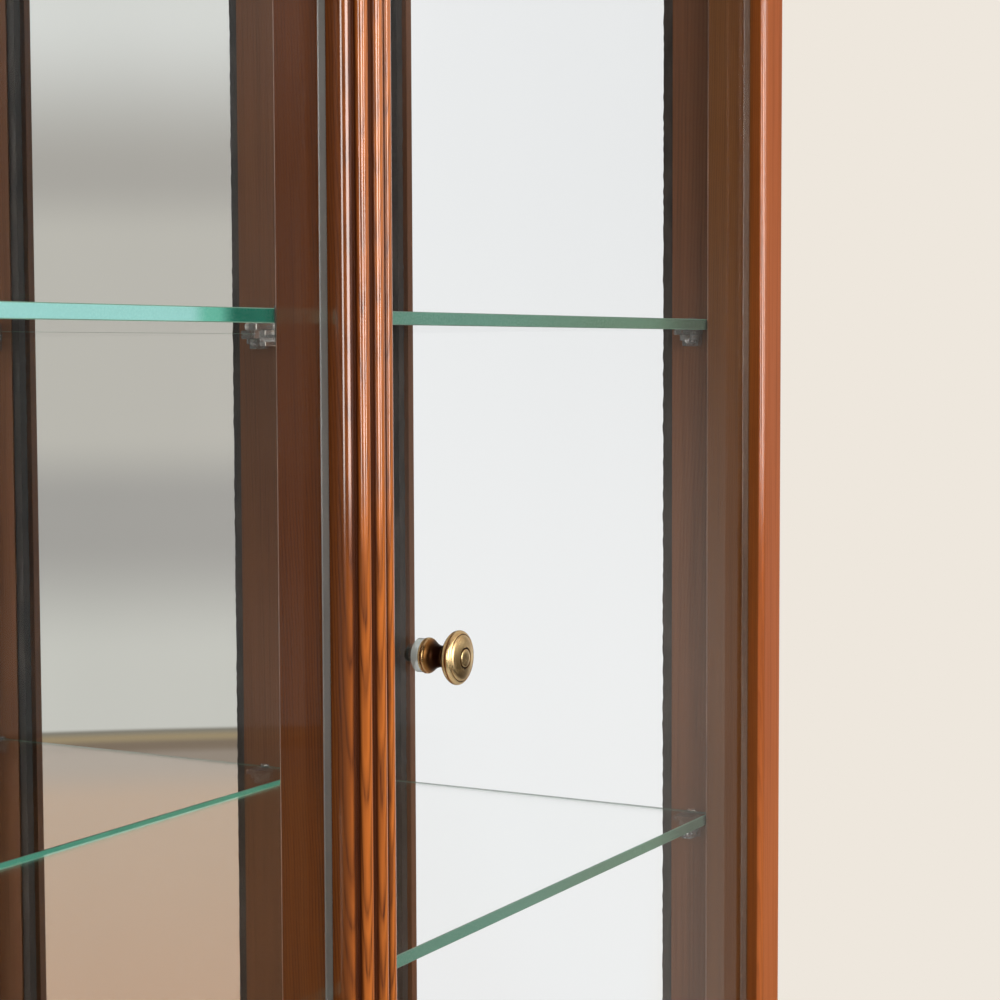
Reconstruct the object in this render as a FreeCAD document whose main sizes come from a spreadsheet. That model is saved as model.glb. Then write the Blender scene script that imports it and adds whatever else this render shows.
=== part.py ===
# A tall display cabinet: a wooden case with framed glass sides, a mirror back, glass shelves and
# two frameless glass doors that turn on pivots beside a reeded centre pilaster.
# X runs to the right, Y to the back and Z up. The origin is on the floor under the middle.

import FreeCAD, Part
import math
import os
import re

from FreeCAD import Placement, Rotation, Vector

doc = FreeCAD.newDocument("display_cabinet")

# Driving dimensions: name, value in millimetres (degrees for angles), meaning
SIZES = (
    ("case_width", 1188.0, "across the outer faces of the side frames"),
    ("case_depth", 423.0, "front of the stiles to the back of the back board"),
    ("glide_rise", 4.0, "height of a floor glide"),
    ("glide_radius", 10.0, "floor glide"),
    ("glide_inset", 60.0, "corner glide in from the end of its rail"),
    ("plinth_rise", 101.0, "height of the plinth rails"),
    ("plinth_thick", 22.0, "plinth rails"),
    ("plinth_setback", 8.0, "plinth behind the faces of the case"),
    ("floor_thick", 25.0, "floor board and base moulding"),
    ("inside_rise", 1897.5, "floor board to ceiling"),
    ("top_thick", 20.0, "top board"),
    ("top_gap", 32.5, "top board to cover board"),
    ("cover_thick", 10.0, "cover board"),
    ("cornice_reach", 34.0, "cornice beyond the case"),
    ("base_reach", 16.0, "base moulding beyond the case"),
    ("stile_width", 38.0, "front stile, seen from the front"),
    ("stile_depth", 46.5, "front stile, front to back"),
    ("stile_reach", 11.0, "front stile in front of the door glass"),
    ("stile_round", 4.5, "rounded front arrises of a stile"),
    ("raw_arris", 1.6, "raw rear arrises of stiles and pilaster"),
    ("pilaster_width", 50.0, "centre pilaster"),
    ("pilaster_bulge", 17.3, "pilaster's middle reed beyond the glass"),
    ("reed_sweep", 39.5, "radius of the curve that the crests of the reeds lie on"),
    ("reed_radius", 4.5, "reeds of the pilaster"),
    ("reed_pitch", 19.6, "angle between neighbouring reeds"),
    ("reed_turn", 80.0, "how far a reed turns round to its groove"),
    ("groove_depth", 4.4, "groove between flank and reed, below the crests"),
    ("flank_rise", 3.1, "straight side of the pilaster beyond the glass"),
    ("flank_radius", 8.8, "rounded flank of the pilaster"),
    ("flank_turn", 32.0, "angle at which the flank's rounding gives way to its inner edge"),
    ("flank_edge", 1.5, "radius of the flank's inner edge"),
    ("flank_roll", 75.0, "how far the flank's inner edge turns down to the groove"),
    ("rail_thick", 22.0, "top front rail"),
    ("side_thick", 22.0, "side frame"),
    ("side_front", 35.0, "side frame's front stile"),
    ("side_rear", 87.0, "side frame's rear stile"),
    ("side_foot", 60.0, "side frame's bottom rail above the floor board"),
    ("side_head", 60.0, "side frame's top rail below the ceiling"),
    ("lip_width", 10.0, "outer lip that holds the side glass"),
    ("lip_thick", 8.0, "outer lip that holds the side glass"),
    ("side_glass_thick", 4.0, "side glass"),
    ("side_glass_play", 1.0, "side glass to its frame"),
    ("strip_width", 8.0, "glazing strip"),
    ("strip_recess", 1.5, "glazing strip below the frame's inner face"),
    ("back_thick", 8.0, "back board"),
    ("mirror_thick", 4.0, "mirror"),
    ("mirror_play", 0.5, "mirror to the frame beside and above it"),
    ("shelf_thick", 8.0, "glass shelf"),
    ("shelf_play", 1.5, "shelf to the side frames and to the pilaster"),
    ("shelf_back_play", 5.0, "shelf to the mirror"),
    ("support_front", 17.0, "front shelf support behind the stile"),
    ("support_rear", 52.0, "rear shelf support in front of the mirror"),
    ("support_spread", 16.0, "centre support from the cabinet's middle"),
    ("support_reach", 20.0, "support plate under the glass"),
    ("support_width", 16.0, "support plate under the glass"),
    ("support_thick", 4.0, "support plate under the glass"),
    ("boss_radius", 6.0, "round boss under the plate"),
    ("boss_reach", 13.0, "round boss under the plate"),
    ("boss_overlap", 1.0, "boss up into the plate"),
    ("pin_radius", 2.0, "support pin"),
    ("pin_depth", 12.0, "support pin in the wood"),
    ("pin_head_radius", 3.6, "support pin's head"),
    ("pin_head_thick", 2.0, "support pin's head"),
    ("bore_play", 0.05, "pin or screw in its fixed bore"),
    ("door_thick", 5.0, "door glass"),
    ("door_gap", 2.0, "door glass to stile and pilaster"),
    ("knob_inset", 37.5, "knob from the door's free edge"),
    ("knob_rise", 948.5, "knob above the floor board"),
    ("knob_radius", 15.4, "knob's head"),
    ("knob_length", 26.5, "knob from its washer to its face"),
    ("knob_bore", 14.0, "screw's depth in the knob"),
    ("washer_radius", 9.6, "clear washer between knob and glass"),
    ("washer_thick", 4.4, "clear washer between knob and glass"),
    ("inner_washer_radius", 6.0, "clear washer under the screw's head"),
    ("inner_washer_thick", 1.0, "clear washer under the screw's head"),
    ("screw_radius", 2.0, "knob screw"),
    ("screw_head_radius", 4.0, "knob screw's head"),
    ("screw_head_thick", 1.8, "knob screw's head"),
    ("knob_hole", 3.5, "radius of the hole in the door glass"),
    ("pivot_inset", 14.0, "pivot axis from the door's hinged edge"),
    ("pivot_radius", 3.0, "pivot stud"),
    ("pivot_depth", 10.0, "pivot stud in its bush"),
    ("pivot_play", 0.2, "pivot stud in its bush, all round"),
    ("bush_radius", 5.0, "pivot bush"),
    ("flange_radius", 7.5, "pivot bush's flange"),
    ("flange_thick", 1.2, "pivot bush's flange"),
    ("clamp_length", 30.0, "pivot clamp along the glass"),
    ("clamp_rise", 20.0, "pivot clamp up the glass"),
    ("clamp_web", 2.0, "pivot clamp across the edge of the glass"),
    ("clamp_front", 2.0, "pivot clamp's outer leg"),
    ("clamp_back", 3.0, "pivot clamp's inner leg"),
    ("running_gap", 0.3, "moving piece to fixed piece"),
    ("strike_inset", 22.0, "strike plate from the door's free edge"),
    ("strike_length", 26.0, "strike plate along the glass"),
    ("strike_rise", 16.0, "strike plate down the glass"),
    ("strike_thick", 1.0, "strike plate"),
    ("catch_depth", 18.0, "magnet catch"),
    ("catch_rise", 13.0, "magnet catch"),
    ("board_ease", 0.8, "eased edges of wood"),
    ("glass_ease", 0.5, "ground edges of glass"),
    ("metal_ease", 0.4, "eased edges of metal"),
    ("overrun", 2.0, "how far a cutting block passes its piece"),
)
SHELF_COUNT = 4

# Places that follow from the sizes, as formulas
PLACES = (
    ("front_y", "cornice_reach - (case_depth + cornice_reach) / 2"),
    ("back_y", "front_y + case_depth"),
    ("pane_y", "front_y + stile_reach"),
    ("post_y", "front_y + stile_depth"),
    ("side_open_y", "post_y + side_front"),
    ("side_shut_y", "back_y - side_rear"),
    ("board_y", "back_y - back_thick"),
    ("mirror_y", "board_y - mirror_thick"),
    ("case_x", "case_width / 2"),
    ("inner_x", "case_x - side_thick"),
    ("stile_x", "case_x - stile_width"),
    ("post_x", "pilaster_width / 2"),
    ("plinth_x", "case_x - plinth_setback"),
    ("plinth_y", "front_y + plinth_setback"),
    ("plinth_z", "glide_rise + plinth_rise"),
    ("floor_z", "plinth_z + floor_thick"),
    ("ceiling_z", "floor_z + inside_rise"),
    ("lid_z", "ceiling_z + top_thick"),
    ("cover_z", "lid_z + top_gap"),
    ("summit_z", "cover_z + cover_thick"),
    ("foot_z", "floor_z + side_foot"),
    ("head_z", "ceiling_z - side_head"),
    ("lip_x", "case_x - lip_thick"),
    ("strip_x", "inner_x + strip_recess"),
    ("side_glass_x", "lip_x - side_glass_thick"),
    ("pane_back_y", "pane_y + door_thick"),
    ("pane_low_z", "floor_z + flange_thick + running_gap + clamp_web"),
    ("pane_high_z", "ceiling_z - flange_thick - running_gap - clamp_web"),
    ("pivot_y", "pane_y + door_thick / 2"),
    ("knob_z", "floor_z + knob_rise"),
    ("right_free_x", "post_x + door_gap"),
    ("right_hung_x", "stile_x - door_gap"),
    ("left_free_x", "door_gap - stile_x"),
    ("left_hung_x", "0 - post_x - door_gap"),
    ("support_front_y", "post_y + support_front"),
    ("support_rear_y", "mirror_y - support_rear"),
)

SIZE_NAMES = {name for name, size, meaning in SIZES}
PLACE_NAMES = {name for name, formula in PLACES}


def spelled(formula):
    """A formula in plain names, with each name's sheet put before it."""
    def with_sheet(word):
        if word[0] in SIZE_NAMES:
            return "Sizes." + word[0]
        if word[0] in PLACE_NAMES:
            return "Places." + word[0]
        return word[0]
    return re.sub(r"[a-z_]+", with_sheet, formula)


def fill_sheets():
    sizes = doc.addObject("Spreadsheet::Sheet", "Sizes")
    for row, (name, size, meaning) in enumerate(SIZES, start=1):
        sizes.set(f"A{row}", meaning)
        sizes.set(f"B{row}", str(size))
        sizes.setAlias(f"B{row}", name)
    doc.recompute()
    places = doc.addObject("Spreadsheet::Sheet", "Places")
    for row, (name, formula) in enumerate(PLACES, start=1):
        places.set(f"A{row}", "=" + spelled(formula).replace("Places.", ""))
        places.setAlias(f"A{row}", name)
    doc.recompute()
    return sizes, places


SHEETS = fill_sheets()
SUBPARTS = []


def val(name):
    """The number behind one name."""
    sheet = SHEETS[0] if name in SIZE_NAMES else SHEETS[1]
    return float(sheet.get(name))


def bind(thing, prop, formula):
    thing.setExpression(prop, spelled(formula))


def new_body(name):
    body = doc.addObject("PartDesign::Body", name)
    body.Label = name
    SUBPARTS.append(body)
    return body


def block(body, x, y, z, kind="PartDesign::AdditiveBox"):
    """A rectangular block from low to high on each axis, added or taken away."""
    piece = body.newObject(kind, body.Name + "_block")
    for prop, axis, (low, high) in zip(("Length", "Width", "Height"), "xyz", (x, y, z)):
        bind(piece, prop, f"({high}) - ({low})")
        bind(piece, f"Placement.Base.{axis}", low)
    return piece


def slot(body, x, y, z):
    return block(body, x, y, z, kind="PartDesign::SubtractiveBox")


TURNS = {
    "x": Rotation(Vector(0, 1, 0), 90),
    "y": Rotation(Vector(1, 0, 0), -90),
    "z": Rotation(),
}


def rod(body, radius, axis, start, length, middle, kind="PartDesign::AdditiveCylinder"):
    """A cylinder along an axis, from its start; middle is its place on the other two axes."""
    piece = body.newObject(kind, body.Name + "_rod")
    piece.Placement = Placement(Vector(), TURNS[axis])
    bind(piece, "Radius", radius)
    bind(piece, "Height", length)
    bind(piece, f"Placement.Base.{axis}", start)
    for other, place in zip("xyz".replace(axis, ""), middle):
        bind(piece, f"Placement.Base.{other}", place)
    return piece


def hole(body, radius, axis, start, length, middle):
    return rod(body, radius, axis, start, length, middle, kind="PartDesign::SubtractiveCylinder")


def ease(body, feature, size, wanted=None, kind="PartDesign::Chamfer"):
    """Chamfers or rounds the edges whose middle point the test wants, or all of them."""
    doc.recompute()
    names = []
    for number, edge in enumerate(feature.Shape.Edges, start=1):
        if wanted is None or wanted(edge.CenterOfMass):
            names.append(f"Edge{number}")
    eased = body.newObject(kind, body.Name + "_ease")
    eased.Base = (feature, names)
    bind(eased, "Radius" if kind.endswith("Fillet") else "Size", size)
    return eased


def board(name, x, y, z, size="board_ease"):
    """A board or pane with all its edges eased."""
    body = new_body(name)
    ease(body, block(body, x, y, z), size)
    return body


PLANES = {"xy": "XY_Plane", "xz": "XZ_Plane", "yz": "YZ_Plane"}


def outline(body, plane, points):
    """A closed sketch. A point is (a, b), or (middle, end) for the arc that leads to it."""
    sketch = body.newObject("Sketcher::SketchObject", body.Name + "_outline")
    plane_feature = [item for item in body.Origin.OriginFeatures if item.Role == PLANES[plane]][0]
    sketch.AttachmentSupport = (plane_feature, [""])
    sketch.MapMode = "FlatFace"
    last = Vector(*points[-1][-1], 0) if isinstance(points[-1][0], tuple) else Vector(*points[-1], 0)
    for point in points:
        if isinstance(point[0], tuple):
            middle, end = (Vector(*place, 0) for place in point)
            sketch.addGeometry(Part.Arc(last, middle, end), False)
        else:
            end = Vector(*point, 0)
            sketch.addGeometry(Part.LineSegment(last, end), False)
        last = end
    return sketch


def pad(body, sketch, length, midplane=False):
    piece = body.newObject("PartDesign::Pad", body.Name + "_pad")
    piece.Profile = sketch
    piece.Midplane = midplane
    bind(piece, "Length", length)
    return piece


def group(name, solids):
    """Identical small pieces that share one name."""
    piece = doc.addObject("Part::Feature", name)
    piece.Shape = Part.makeCompound(solids)
    piece.Label = name
    SUBPARTS.append(piece)
    return piece


def negated(span):
    """The same span on the other side of the cabinet's middle."""
    return (f"0 - ({span[1]})", f"0 - ({span[0]})")


def mirrored(side, span):
    return span if side == "right" else negated(span)


# Outlines of the mouldings, as shares of their reach and height, from the case outwards and up
CORNICE_SHARES = (
    (0.35, 0.0), (0.35, 0.13), (0.42, 0.13), (0.42, 0.18),
    ((0.50, 0.42), (0.82, 0.60)),
    (0.92, 0.60), (0.92, 0.67),
    ((0.96, 0.71), (1.0, 0.76)),
    (1.0, 0.92),
    ((0.970, 0.966), (0.90, 1.0)),
    (0.0, 1.0), (0.0, 0.0),
)
BASE_SHARES = (
    (0.62, 0.0), (0.62, 0.12),
    ((0.72, 0.30), (0.94, 0.42)),
    (1.0, 0.46), (1.0, 0.78),
    ((0.945, 0.904), (0.80, 1.0)),
    (0.0, 1.0), (0.0, 0.0),
)


def moulding_points(shares, reach, low, high, place):
    """Shares of a moulding's outline turned into sketch points, outwards by place."""
    def spot(share):
        return (place(share[0] * reach), low + share[1] * (high - low))
    points = []
    for share in shares:
        if isinstance(share[0], tuple):
            points.append((spot(share[0]), spot(share[1])))
        else:
            points.append(spot(share))
    return points


def mitre(body, side, keeps_front, reach, low, high):
    """Cuts a moulding at 45 degrees through the corner of the case."""
    sign = 1 if side == "right" else -1
    from_case = keeps_front == (side == "right")
    turn = {(1, True): -45, (-1, True): 45, (1, False): 135, (-1, False): -135}[sign, keeps_front]
    cutter = body.newObject("PartDesign::SubtractiveBox", body.Name + "_mitre")
    cutter.Placement = Placement(Vector(), Rotation(Vector(0, 0, 1), turn))
    bind(cutter, "Length", f"({reach} + 2 * overrun) * sqrt(2)")
    bind(cutter, "Width", f"{reach} + 2 * overrun")
    bind(cutter, "Height", f"{high} - {low} + 2 * overrun")
    if from_case:
        corner_x, corner_y = "case_x - overrun", "front_y + overrun"
    else:
        corner_x, corner_y = f"case_x + {reach} + overrun", f"front_y - {reach} - overrun"
    bind(cutter, "Placement.Base.x", corner_x if sign > 0 else f"0 - ({corner_x})")
    bind(cutter, "Placement.Base.y", corner_y)
    bind(cutter, "Placement.Base.z", f"{low} - overrun")


def moulding(name, shares, reach, low, high):
    """A moulding round the front and both sides of the case, mitred at its corners."""
    front_y, case_x = val("front_y"), val("case_x")
    body = new_body(name + "_front")
    points = moulding_points(shares, val(reach), val(low), val(high), lambda out: front_y - out)
    pad(body, outline(body, "yz", points), f"case_width + 2 * {reach}", midplane=True)
    for side in ("left", "right"):
        mitre(body, side, True, reach, low, high)
    for side in ("left", "right"):
        sign = 1 if side == "right" else -1
        body = new_body(f"{name}_{side}")
        points = moulding_points(
            shares, val(reach), val(low), val(high), lambda out: sign * (case_x + out))
        sketch = outline(body, "xz", points)
        bind(sketch, "AttachmentOffset.Base.z", "0 - back_y")
        pad(body, sketch, f"case_depth + {reach}")
        mitre(body, side, False, reach, low, high)


def plinth():
    span_x = ("0 - plinth_x", "plinth_x")
    rise = ("glide_rise", "plinth_z")
    front = ("plinth_y", "plinth_y + plinth_thick")
    back = ("back_y - plinth_thick", "back_y")
    between = (front[1], back[0])
    board("plinth_front", span_x, front, rise)
    board("plinth_back", span_x, back, rise)
    for side in ("left", "right"):
        board(f"plinth_{side}", mirrored(side, ("plinth_x - plinth_thick", "plinth_x")), between, rise)
    board("plinth_cross_rail", ("0 - plinth_thick / 2", "plinth_thick / 2"), between, rise)
    corner_x = val("plinth_x") - val("glide_inset")
    rows_y = (
        val("plinth_y") + val("plinth_thick") / 2,
        val("back_y") - val("plinth_thick") / 2,
    )
    glides = []
    for x in (-corner_x, 0, corner_x):
        for y in rows_y:
            glide = Part.makeCylinder(val("glide_radius"), val("glide_rise"), Vector(x, y, 0))
            lower_edge = [edge for edge in glide.Edges if edge.BoundBox.ZMax < val("metal_ease")]
            glides.append(glide.makeChamfer(val("metal_ease"), lower_edge))
    group("floor_glides", glides)


def drill_pivots(body, start):
    for side in ("left", "right"):
        hole(body, "bush_radius", "z", start, "pivot_depth + overrun",
             (f"{side}_hung_x - pivot_inset", "pivot_y"))


def boards():
    """Floor and top board: a main part between the side frames and a tongue between the stiles."""
    for name, rise, pivots in (
        ("floor_board", ("plinth_z", "floor_z"), "floor_z - pivot_depth"),
        ("top_board", ("ceiling_z", "lid_z"), "ceiling_z - overrun"),
    ):
        body = new_body(name)
        block(body, ("0 - inner_x", "inner_x"), ("post_y", "board_y"), rise)
        block(body, ("0 - stile_x", "stile_x"), ("front_y", "post_y"), rise)
        drill_pivots(body, pivots)
    board("top_front_rail", ("0 - stile_x", "stile_x"), ("front_y", "front_y + rail_thick"),
          ("lid_z", "cover_z"))
    board("cover_board", ("0 - case_x", "case_x"), ("front_y", "back_y"), ("cover_z", "summit_z"))
    board("back_board", ("0 - inner_x", "inner_x"), ("board_y", "back_y"), ("plinth_z", "cover_z"))
    board("mirror", ("mirror_play - inner_x", "inner_x - mirror_play"), ("mirror_y", "board_y"),
          ("floor_z", "ceiling_z - mirror_play"), "glass_ease")


def shelf_levels():
    """The underside of each shelf, as a formula, evenly spread between floor and ceiling."""
    pitch = f"inside_rise / {SHELF_COUNT + 1}"
    return [f"floor_z + {number} * {pitch} - shelf_thick / 2" for number in range(1, SHELF_COUNT + 1)]


def pin_level(underside):
    return f"{underside} - support_thick - boss_radius + boss_overlap"


def front_stiles():
    stile_x, case_x = val("stile_x"), val("case_x")
    front_y, post_y = val("front_y"), val("post_y")
    for side in ("left", "right"):
        sign = 1 if side == "right" else -1
        body = new_body(f"{side}_front_stile")
        whole = block(body, mirrored(side, ("stile_x", "case_x")), ("front_y", "post_y"),
                      ("plinth_z", "cover_z"))
        small = val("overrun")
        rounded = ease(body, whole, "stile_round", kind="PartDesign::Fillet",
                       wanted=lambda spot: abs(spot.y - front_y) < small
                       and min(abs(abs(spot.x) - stile_x), abs(abs(spot.x) - case_x)) < small)
        ease(body, rounded, "raw_arris",
             wanted=lambda spot: abs(spot.y - post_y) < small and abs(spot.x - sign * stile_x) < small)


def pilaster_points():
    """Three reeds on a shallow curve between rounded flanks, straight sides, raw rear arrises."""
    half, pane_y, post_y = val("post_x"), val("pane_y"), val("post_y")
    arris, reed, flank, edge = val("raw_arris"), val("reed_radius"), val("flank_radius"), val("flank_edge")
    pitch, turn = math.radians(val("reed_pitch")), math.radians(val("reed_turn"))
    edge_turn, roll = math.radians(val("flank_turn")), math.radians(val("flank_roll"))
    sweep = (0.0, pane_y - val("pilaster_bulge") + val("reed_sweep"))

    def turned(angle, radius, about):
        return (about[0] + radius * math.sin(angle), about[1] - radius * math.cos(angle))

    def on_reed(number, angle):
        middle = turned(number * pitch, val("reed_sweep") - reed, sweep)
        return turned(number * pitch + angle, reed, middle)

    def side(sign):
        """Spots from the straight side to the groove beside the outer reed; sign is -1 on the left."""
        middle = (sign * (half - flank), pane_y - val("flank_rise"))
        inner = turned(sign * edge_turn, flank - edge, middle)
        return (turned(sign * math.pi / 2, flank, middle),
                turned(sign * (math.pi / 2 + edge_turn) / 2, flank, middle),
                turned(sign * edge_turn, flank, middle),
                turned(sign * (edge_turn - roll) / 2, edge, inner),
                turned(-sign * roll, edge, inner),
                turned(sign * 3 * pitch / 2, val("reed_sweep") - val("groove_depth"), sweep))

    points = [(half, post_y - arris), (half - arris, post_y)]
    points += [(arris - half, post_y), (-half, post_y - arris)]
    shoulder, flank_middle, flank_end, edge_middle, edge_end, groove = side(-1)
    points += [shoulder, (flank_middle, flank_end), (edge_middle, edge_end), groove]
    for number in (-1, 0, 1):
        points.append(on_reed(number, -turn))
        points.append((on_reed(number, 0), on_reed(number, turn)))
    shoulder, flank_middle, flank_end, edge_middle, edge_end, groove = side(1)
    points += [groove, edge_end, (edge_middle, flank_end), (flank_middle, shoulder)]
    return points


def pilaster():
    body = new_body("centre_pilaster")
    sketch = outline(body, "xy", pilaster_points())
    bind(sketch, "AttachmentOffset.Base.z", "floor_z")
    pad(body, sketch, "inside_rise")
    for underside in shelf_levels():
        for across in ("0 - support_spread", "support_spread"):
            hole(body, "pin_radius + bore_play", "y", "post_y - pin_depth", "pin_depth + overrun",
                 (across, pin_level(underside)))


def side_frames():
    for side in ("left", "right"):
        across = mirrored(side, ("inner_x", "case_x"))
        lip = mirrored(side, ("lip_x", "case_x"))
        rise = ("plinth_z", "cover_z")
        lip_rise = ("foot_z + lip_width", "head_z - lip_width")
        between = ("side_open_y", "side_shut_y")
        front = new_body(f"{side}_side_front_stile")
        block(front, across, ("post_y", "side_open_y"), rise)
        block(front, lip, ("side_open_y", "side_open_y + lip_width"), lip_rise)
        rear = new_body(f"{side}_side_rear_stile")
        block(rear, across, ("side_shut_y", "back_y"), rise)
        block(rear, lip, ("side_shut_y - lip_width", "side_shut_y"), lip_rise)
        drill_start = "inner_x - overrun" if side == "right" else "0 - inner_x - pin_depth"
        for body, middle_y in ((front, "support_front_y"), (rear, "support_rear_y")):
            for underside in shelf_levels():
                hole(body, "pin_radius + bore_play", "x", drill_start, "pin_depth + overrun",
                     (middle_y, pin_level(underside)))
        foot = new_body(f"{side}_side_bottom_rail")
        block(foot, across, between, ("plinth_z", "foot_z"))
        block(foot, lip, between, ("foot_z", "foot_z + lip_width"))
        head = new_body(f"{side}_side_top_rail")
        block(head, across, between, ("head_z", "cover_z"))
        block(head, lip, between, ("head_z - lip_width", "head_z"))
        play = "side_glass_play"
        board(f"{side}_side_glass", mirrored(side, ("side_glass_x", "lip_x")),
              (f"side_open_y + {play}", f"side_shut_y - {play}"), (f"foot_z + {play}", f"head_z - {play}"),
              "glass_ease")
        strip_x = mirrored(side, ("strip_x", "side_glass_x"))
        strip = new_body(f"{side}_glazing_strip")
        block(strip, strip_x, between, ("foot_z", "head_z"))
        slot(strip, strip_x, ("side_open_y + strip_width", "side_shut_y - strip_width"),
             ("foot_z + strip_width", "head_z - strip_width"))


def shelves():
    for number, underside in enumerate(shelf_levels(), start=1):
        board(f"shelf_{number}", ("shelf_play - inner_x", "inner_x - shelf_play"),
              ("post_y + shelf_play", "mirror_y - shelf_back_play"),
              (underside, f"{underside} + shelf_thick"), "glass_ease")


def support_shapes():
    """One clear support and its pin. It reaches along +X, and its top is at zero height."""
    pin_z = val("boss_overlap") - val("support_thick") - val("boss_radius")
    along = Vector(1, 0, 0)
    plate = Part.makeBox(val("support_reach"), val("support_width"), val("support_thick"),
                         Vector(0, -val("support_width") / 2, -val("support_thick")))
    outer_edges = [edge for edge in plate.Edges
                   if edge.BoundBox.XMin > val("support_reach") - val("metal_ease")
                   and edge.BoundBox.ZLength > val("metal_ease")]
    plate = plate.makeFillet(val("support_width") / 3, outer_edges)
    boss = Part.makeCylinder(val("boss_radius"), val("boss_reach"), Vector(0, 0, pin_z), along)
    bore = Part.makeCylinder(val("pin_radius") + val("bore_play"), val("boss_reach"),
                             Vector(0, 0, pin_z), along)
    support = plate.fuse(boss).cut(bore).removeSplitter()
    shank = Part.makeCylinder(val("pin_radius"), val("pin_depth") + val("boss_reach"),
                              Vector(-val("pin_depth"), 0, pin_z), along)
    head = Part.makeCylinder(val("pin_head_radius"), val("pin_head_thick"),
                             Vector(val("boss_reach"), 0, pin_z), along)
    return support, shank.fuse(head).removeSplitter()


def shelf_supports():
    support, pin = support_shapes()
    spread = val("support_spread")
    rows = {
        "left": [(-val("inner_x"), val("support_front_y"), 0), (-val("inner_x"), val("support_rear_y"), 0)],
        "centre": [(-spread, val("post_y"), 90), (spread, val("post_y"), 90)],
        "right": [(val("inner_x"), val("support_front_y"), 180),
                  (val("inner_x"), val("support_rear_y"), 180)],
    }
    pitch = val("inside_rise") / (SHELF_COUNT + 1)
    pins = []
    for row, spots in rows.items():
        supports = []
        for number in range(1, SHELF_COUNT + 1):
            level = val("floor_z") + number * pitch - val("shelf_thick") / 2
            for x, y, turn in spots:
                place = Placement(Vector(x, y, level), Rotation(Vector(0, 0, 1), turn)).toMatrix()
                supports.append(moved(support, place))
                pins.append(moved(pin, place))
        group(f"{row}_shelf_supports", supports)
    group("support_pins", pins)


def moved(shape, matrix):
    copy = shape.copy()
    copy.transformShape(matrix)
    return copy


# Knob outline: shares of its radius outwards, and of its length from washer to face
KNOB_SHARES = (
    (0.58, 0.0),
    ((0.655, 0.035), (0.66, 0.09)),
    ((0.60, 0.155), (0.50, 0.20)),
    ((0.41, 0.275), (0.395, 0.36)),
    (0.395, 0.43),
    ((0.46, 0.455), (0.43, 0.49)),
    ((0.60, 0.565), (0.86, 0.66)),
    ((1.0, 0.765), (0.90, 0.865)),
    (0.865, 0.888), (0.835, 0.873), (0.82, 0.898),
    ((0.62, 0.95), (0.41, 0.972)),
    (0.385, 0.93), (0.345, 0.935), (0.33, 0.972),
    ((0.19, 0.992), (0.06, 1.0)),
    (0.0, 1.0), (0.0, 0.0),
)


def knob(side, free_x):
    """A turned knob on clear washers, held by a screw through the glass."""
    middle_x = f"{free_x} + knob_inset"
    body = new_body(f"{side}_door_knob")
    radius, length = val("knob_radius"), val("knob_length")

    def spot(share):
        return (share[0] * radius, -share[1] * length)

    points = []
    for share in KNOB_SHARES:
        points.append((spot(share[0]), spot(share[1])) if isinstance(share[0], tuple) else spot(share))
    sketch = outline(body, "xy", points)
    turned = body.newObject("PartDesign::Revolution", body.Name + "_turning")
    turned.Profile = sketch
    turned.ReferenceAxis = (sketch, ["V_Axis"])
    turned.Angle = 360
    hole(body, "screw_radius + bore_play", "y", "0 - knob_bore", "knob_bore + overrun", ("0", "0"))
    bind(body, "Placement.Base.x", middle_x)
    bind(body, "Placement.Base.y", "pane_y - washer_thick")
    bind(body, "Placement.Base.z", "knob_z")
    x, z = val(free_x) + val("knob_inset"), val("knob_z")
    washers = []
    for radius, thick, start in (
        (val("washer_radius"), val("washer_thick"), val("pane_y") - val("washer_thick")),
        (val("inner_washer_radius"), val("inner_washer_thick"), val("pane_back_y")),
    ):
        spot = Vector(x, start, z)
        ring = Part.makeCylinder(radius, thick, spot, Vector(0, 1, 0))
        rims = [edge for edge in ring.Edges if edge.Length > radius * math.pi]
        ring = ring.makeChamfer(val("metal_ease"), rims)
        bore = Part.makeCylinder(val("screw_radius") + val("bore_play"), thick, spot, Vector(0, 1, 0))
        washers.append(ring.cut(bore))
    group(f"{side}_knob_washers", washers)
    screw = new_body(f"{side}_knob_screw")
    rod(screw, "screw_radius", "y", "pane_y - washer_thick - knob_bore",
        "knob_bore + washer_thick + door_thick + inner_washer_thick", (middle_x, "knob_z"))
    head = rod(screw, "screw_head_radius", "y", "pane_back_y + inner_washer_thick", "screw_head_thick",
               (middle_x, "knob_z"))
    rear_y = val("pane_back_y") + val("inner_washer_thick") + val("screw_head_thick")
    ease(screw, head, "screw_head_thick / 2", kind="PartDesign::Fillet",
         wanted=lambda place: abs(place.y - rear_y) < val("metal_ease"))


def pivot_clamp(name, hung_x, upwards):
    """A clamp round the edge of the glass, with the pivot stud on it."""
    body = new_body(name)
    across = (f"{hung_x} - clamp_length", hung_x)
    through = ("pane_y - clamp_front", "pane_back_y + clamp_back")
    if upwards:
        rise = ("pane_high_z - clamp_rise", "pane_high_z + clamp_web")
        glass_rise = ("pane_high_z - clamp_rise", "pane_high_z")
        stud_start = "pane_high_z + clamp_web"
    else:
        rise = ("pane_low_z - clamp_web", "pane_low_z + clamp_rise")
        glass_rise = ("pane_low_z", "pane_low_z + clamp_rise")
        stud_start = "floor_z - pivot_depth"
    outer = ease(body, block(body, across, through, rise), "metal_ease")
    slot(body, across, ("pane_y", "pane_back_y"), glass_rise)
    rod(body, "pivot_radius", "z", stud_start, "pivot_depth + flange_thick + running_gap",
        (f"{hung_x} - pivot_inset", "pivot_y"))
    return outer


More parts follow.
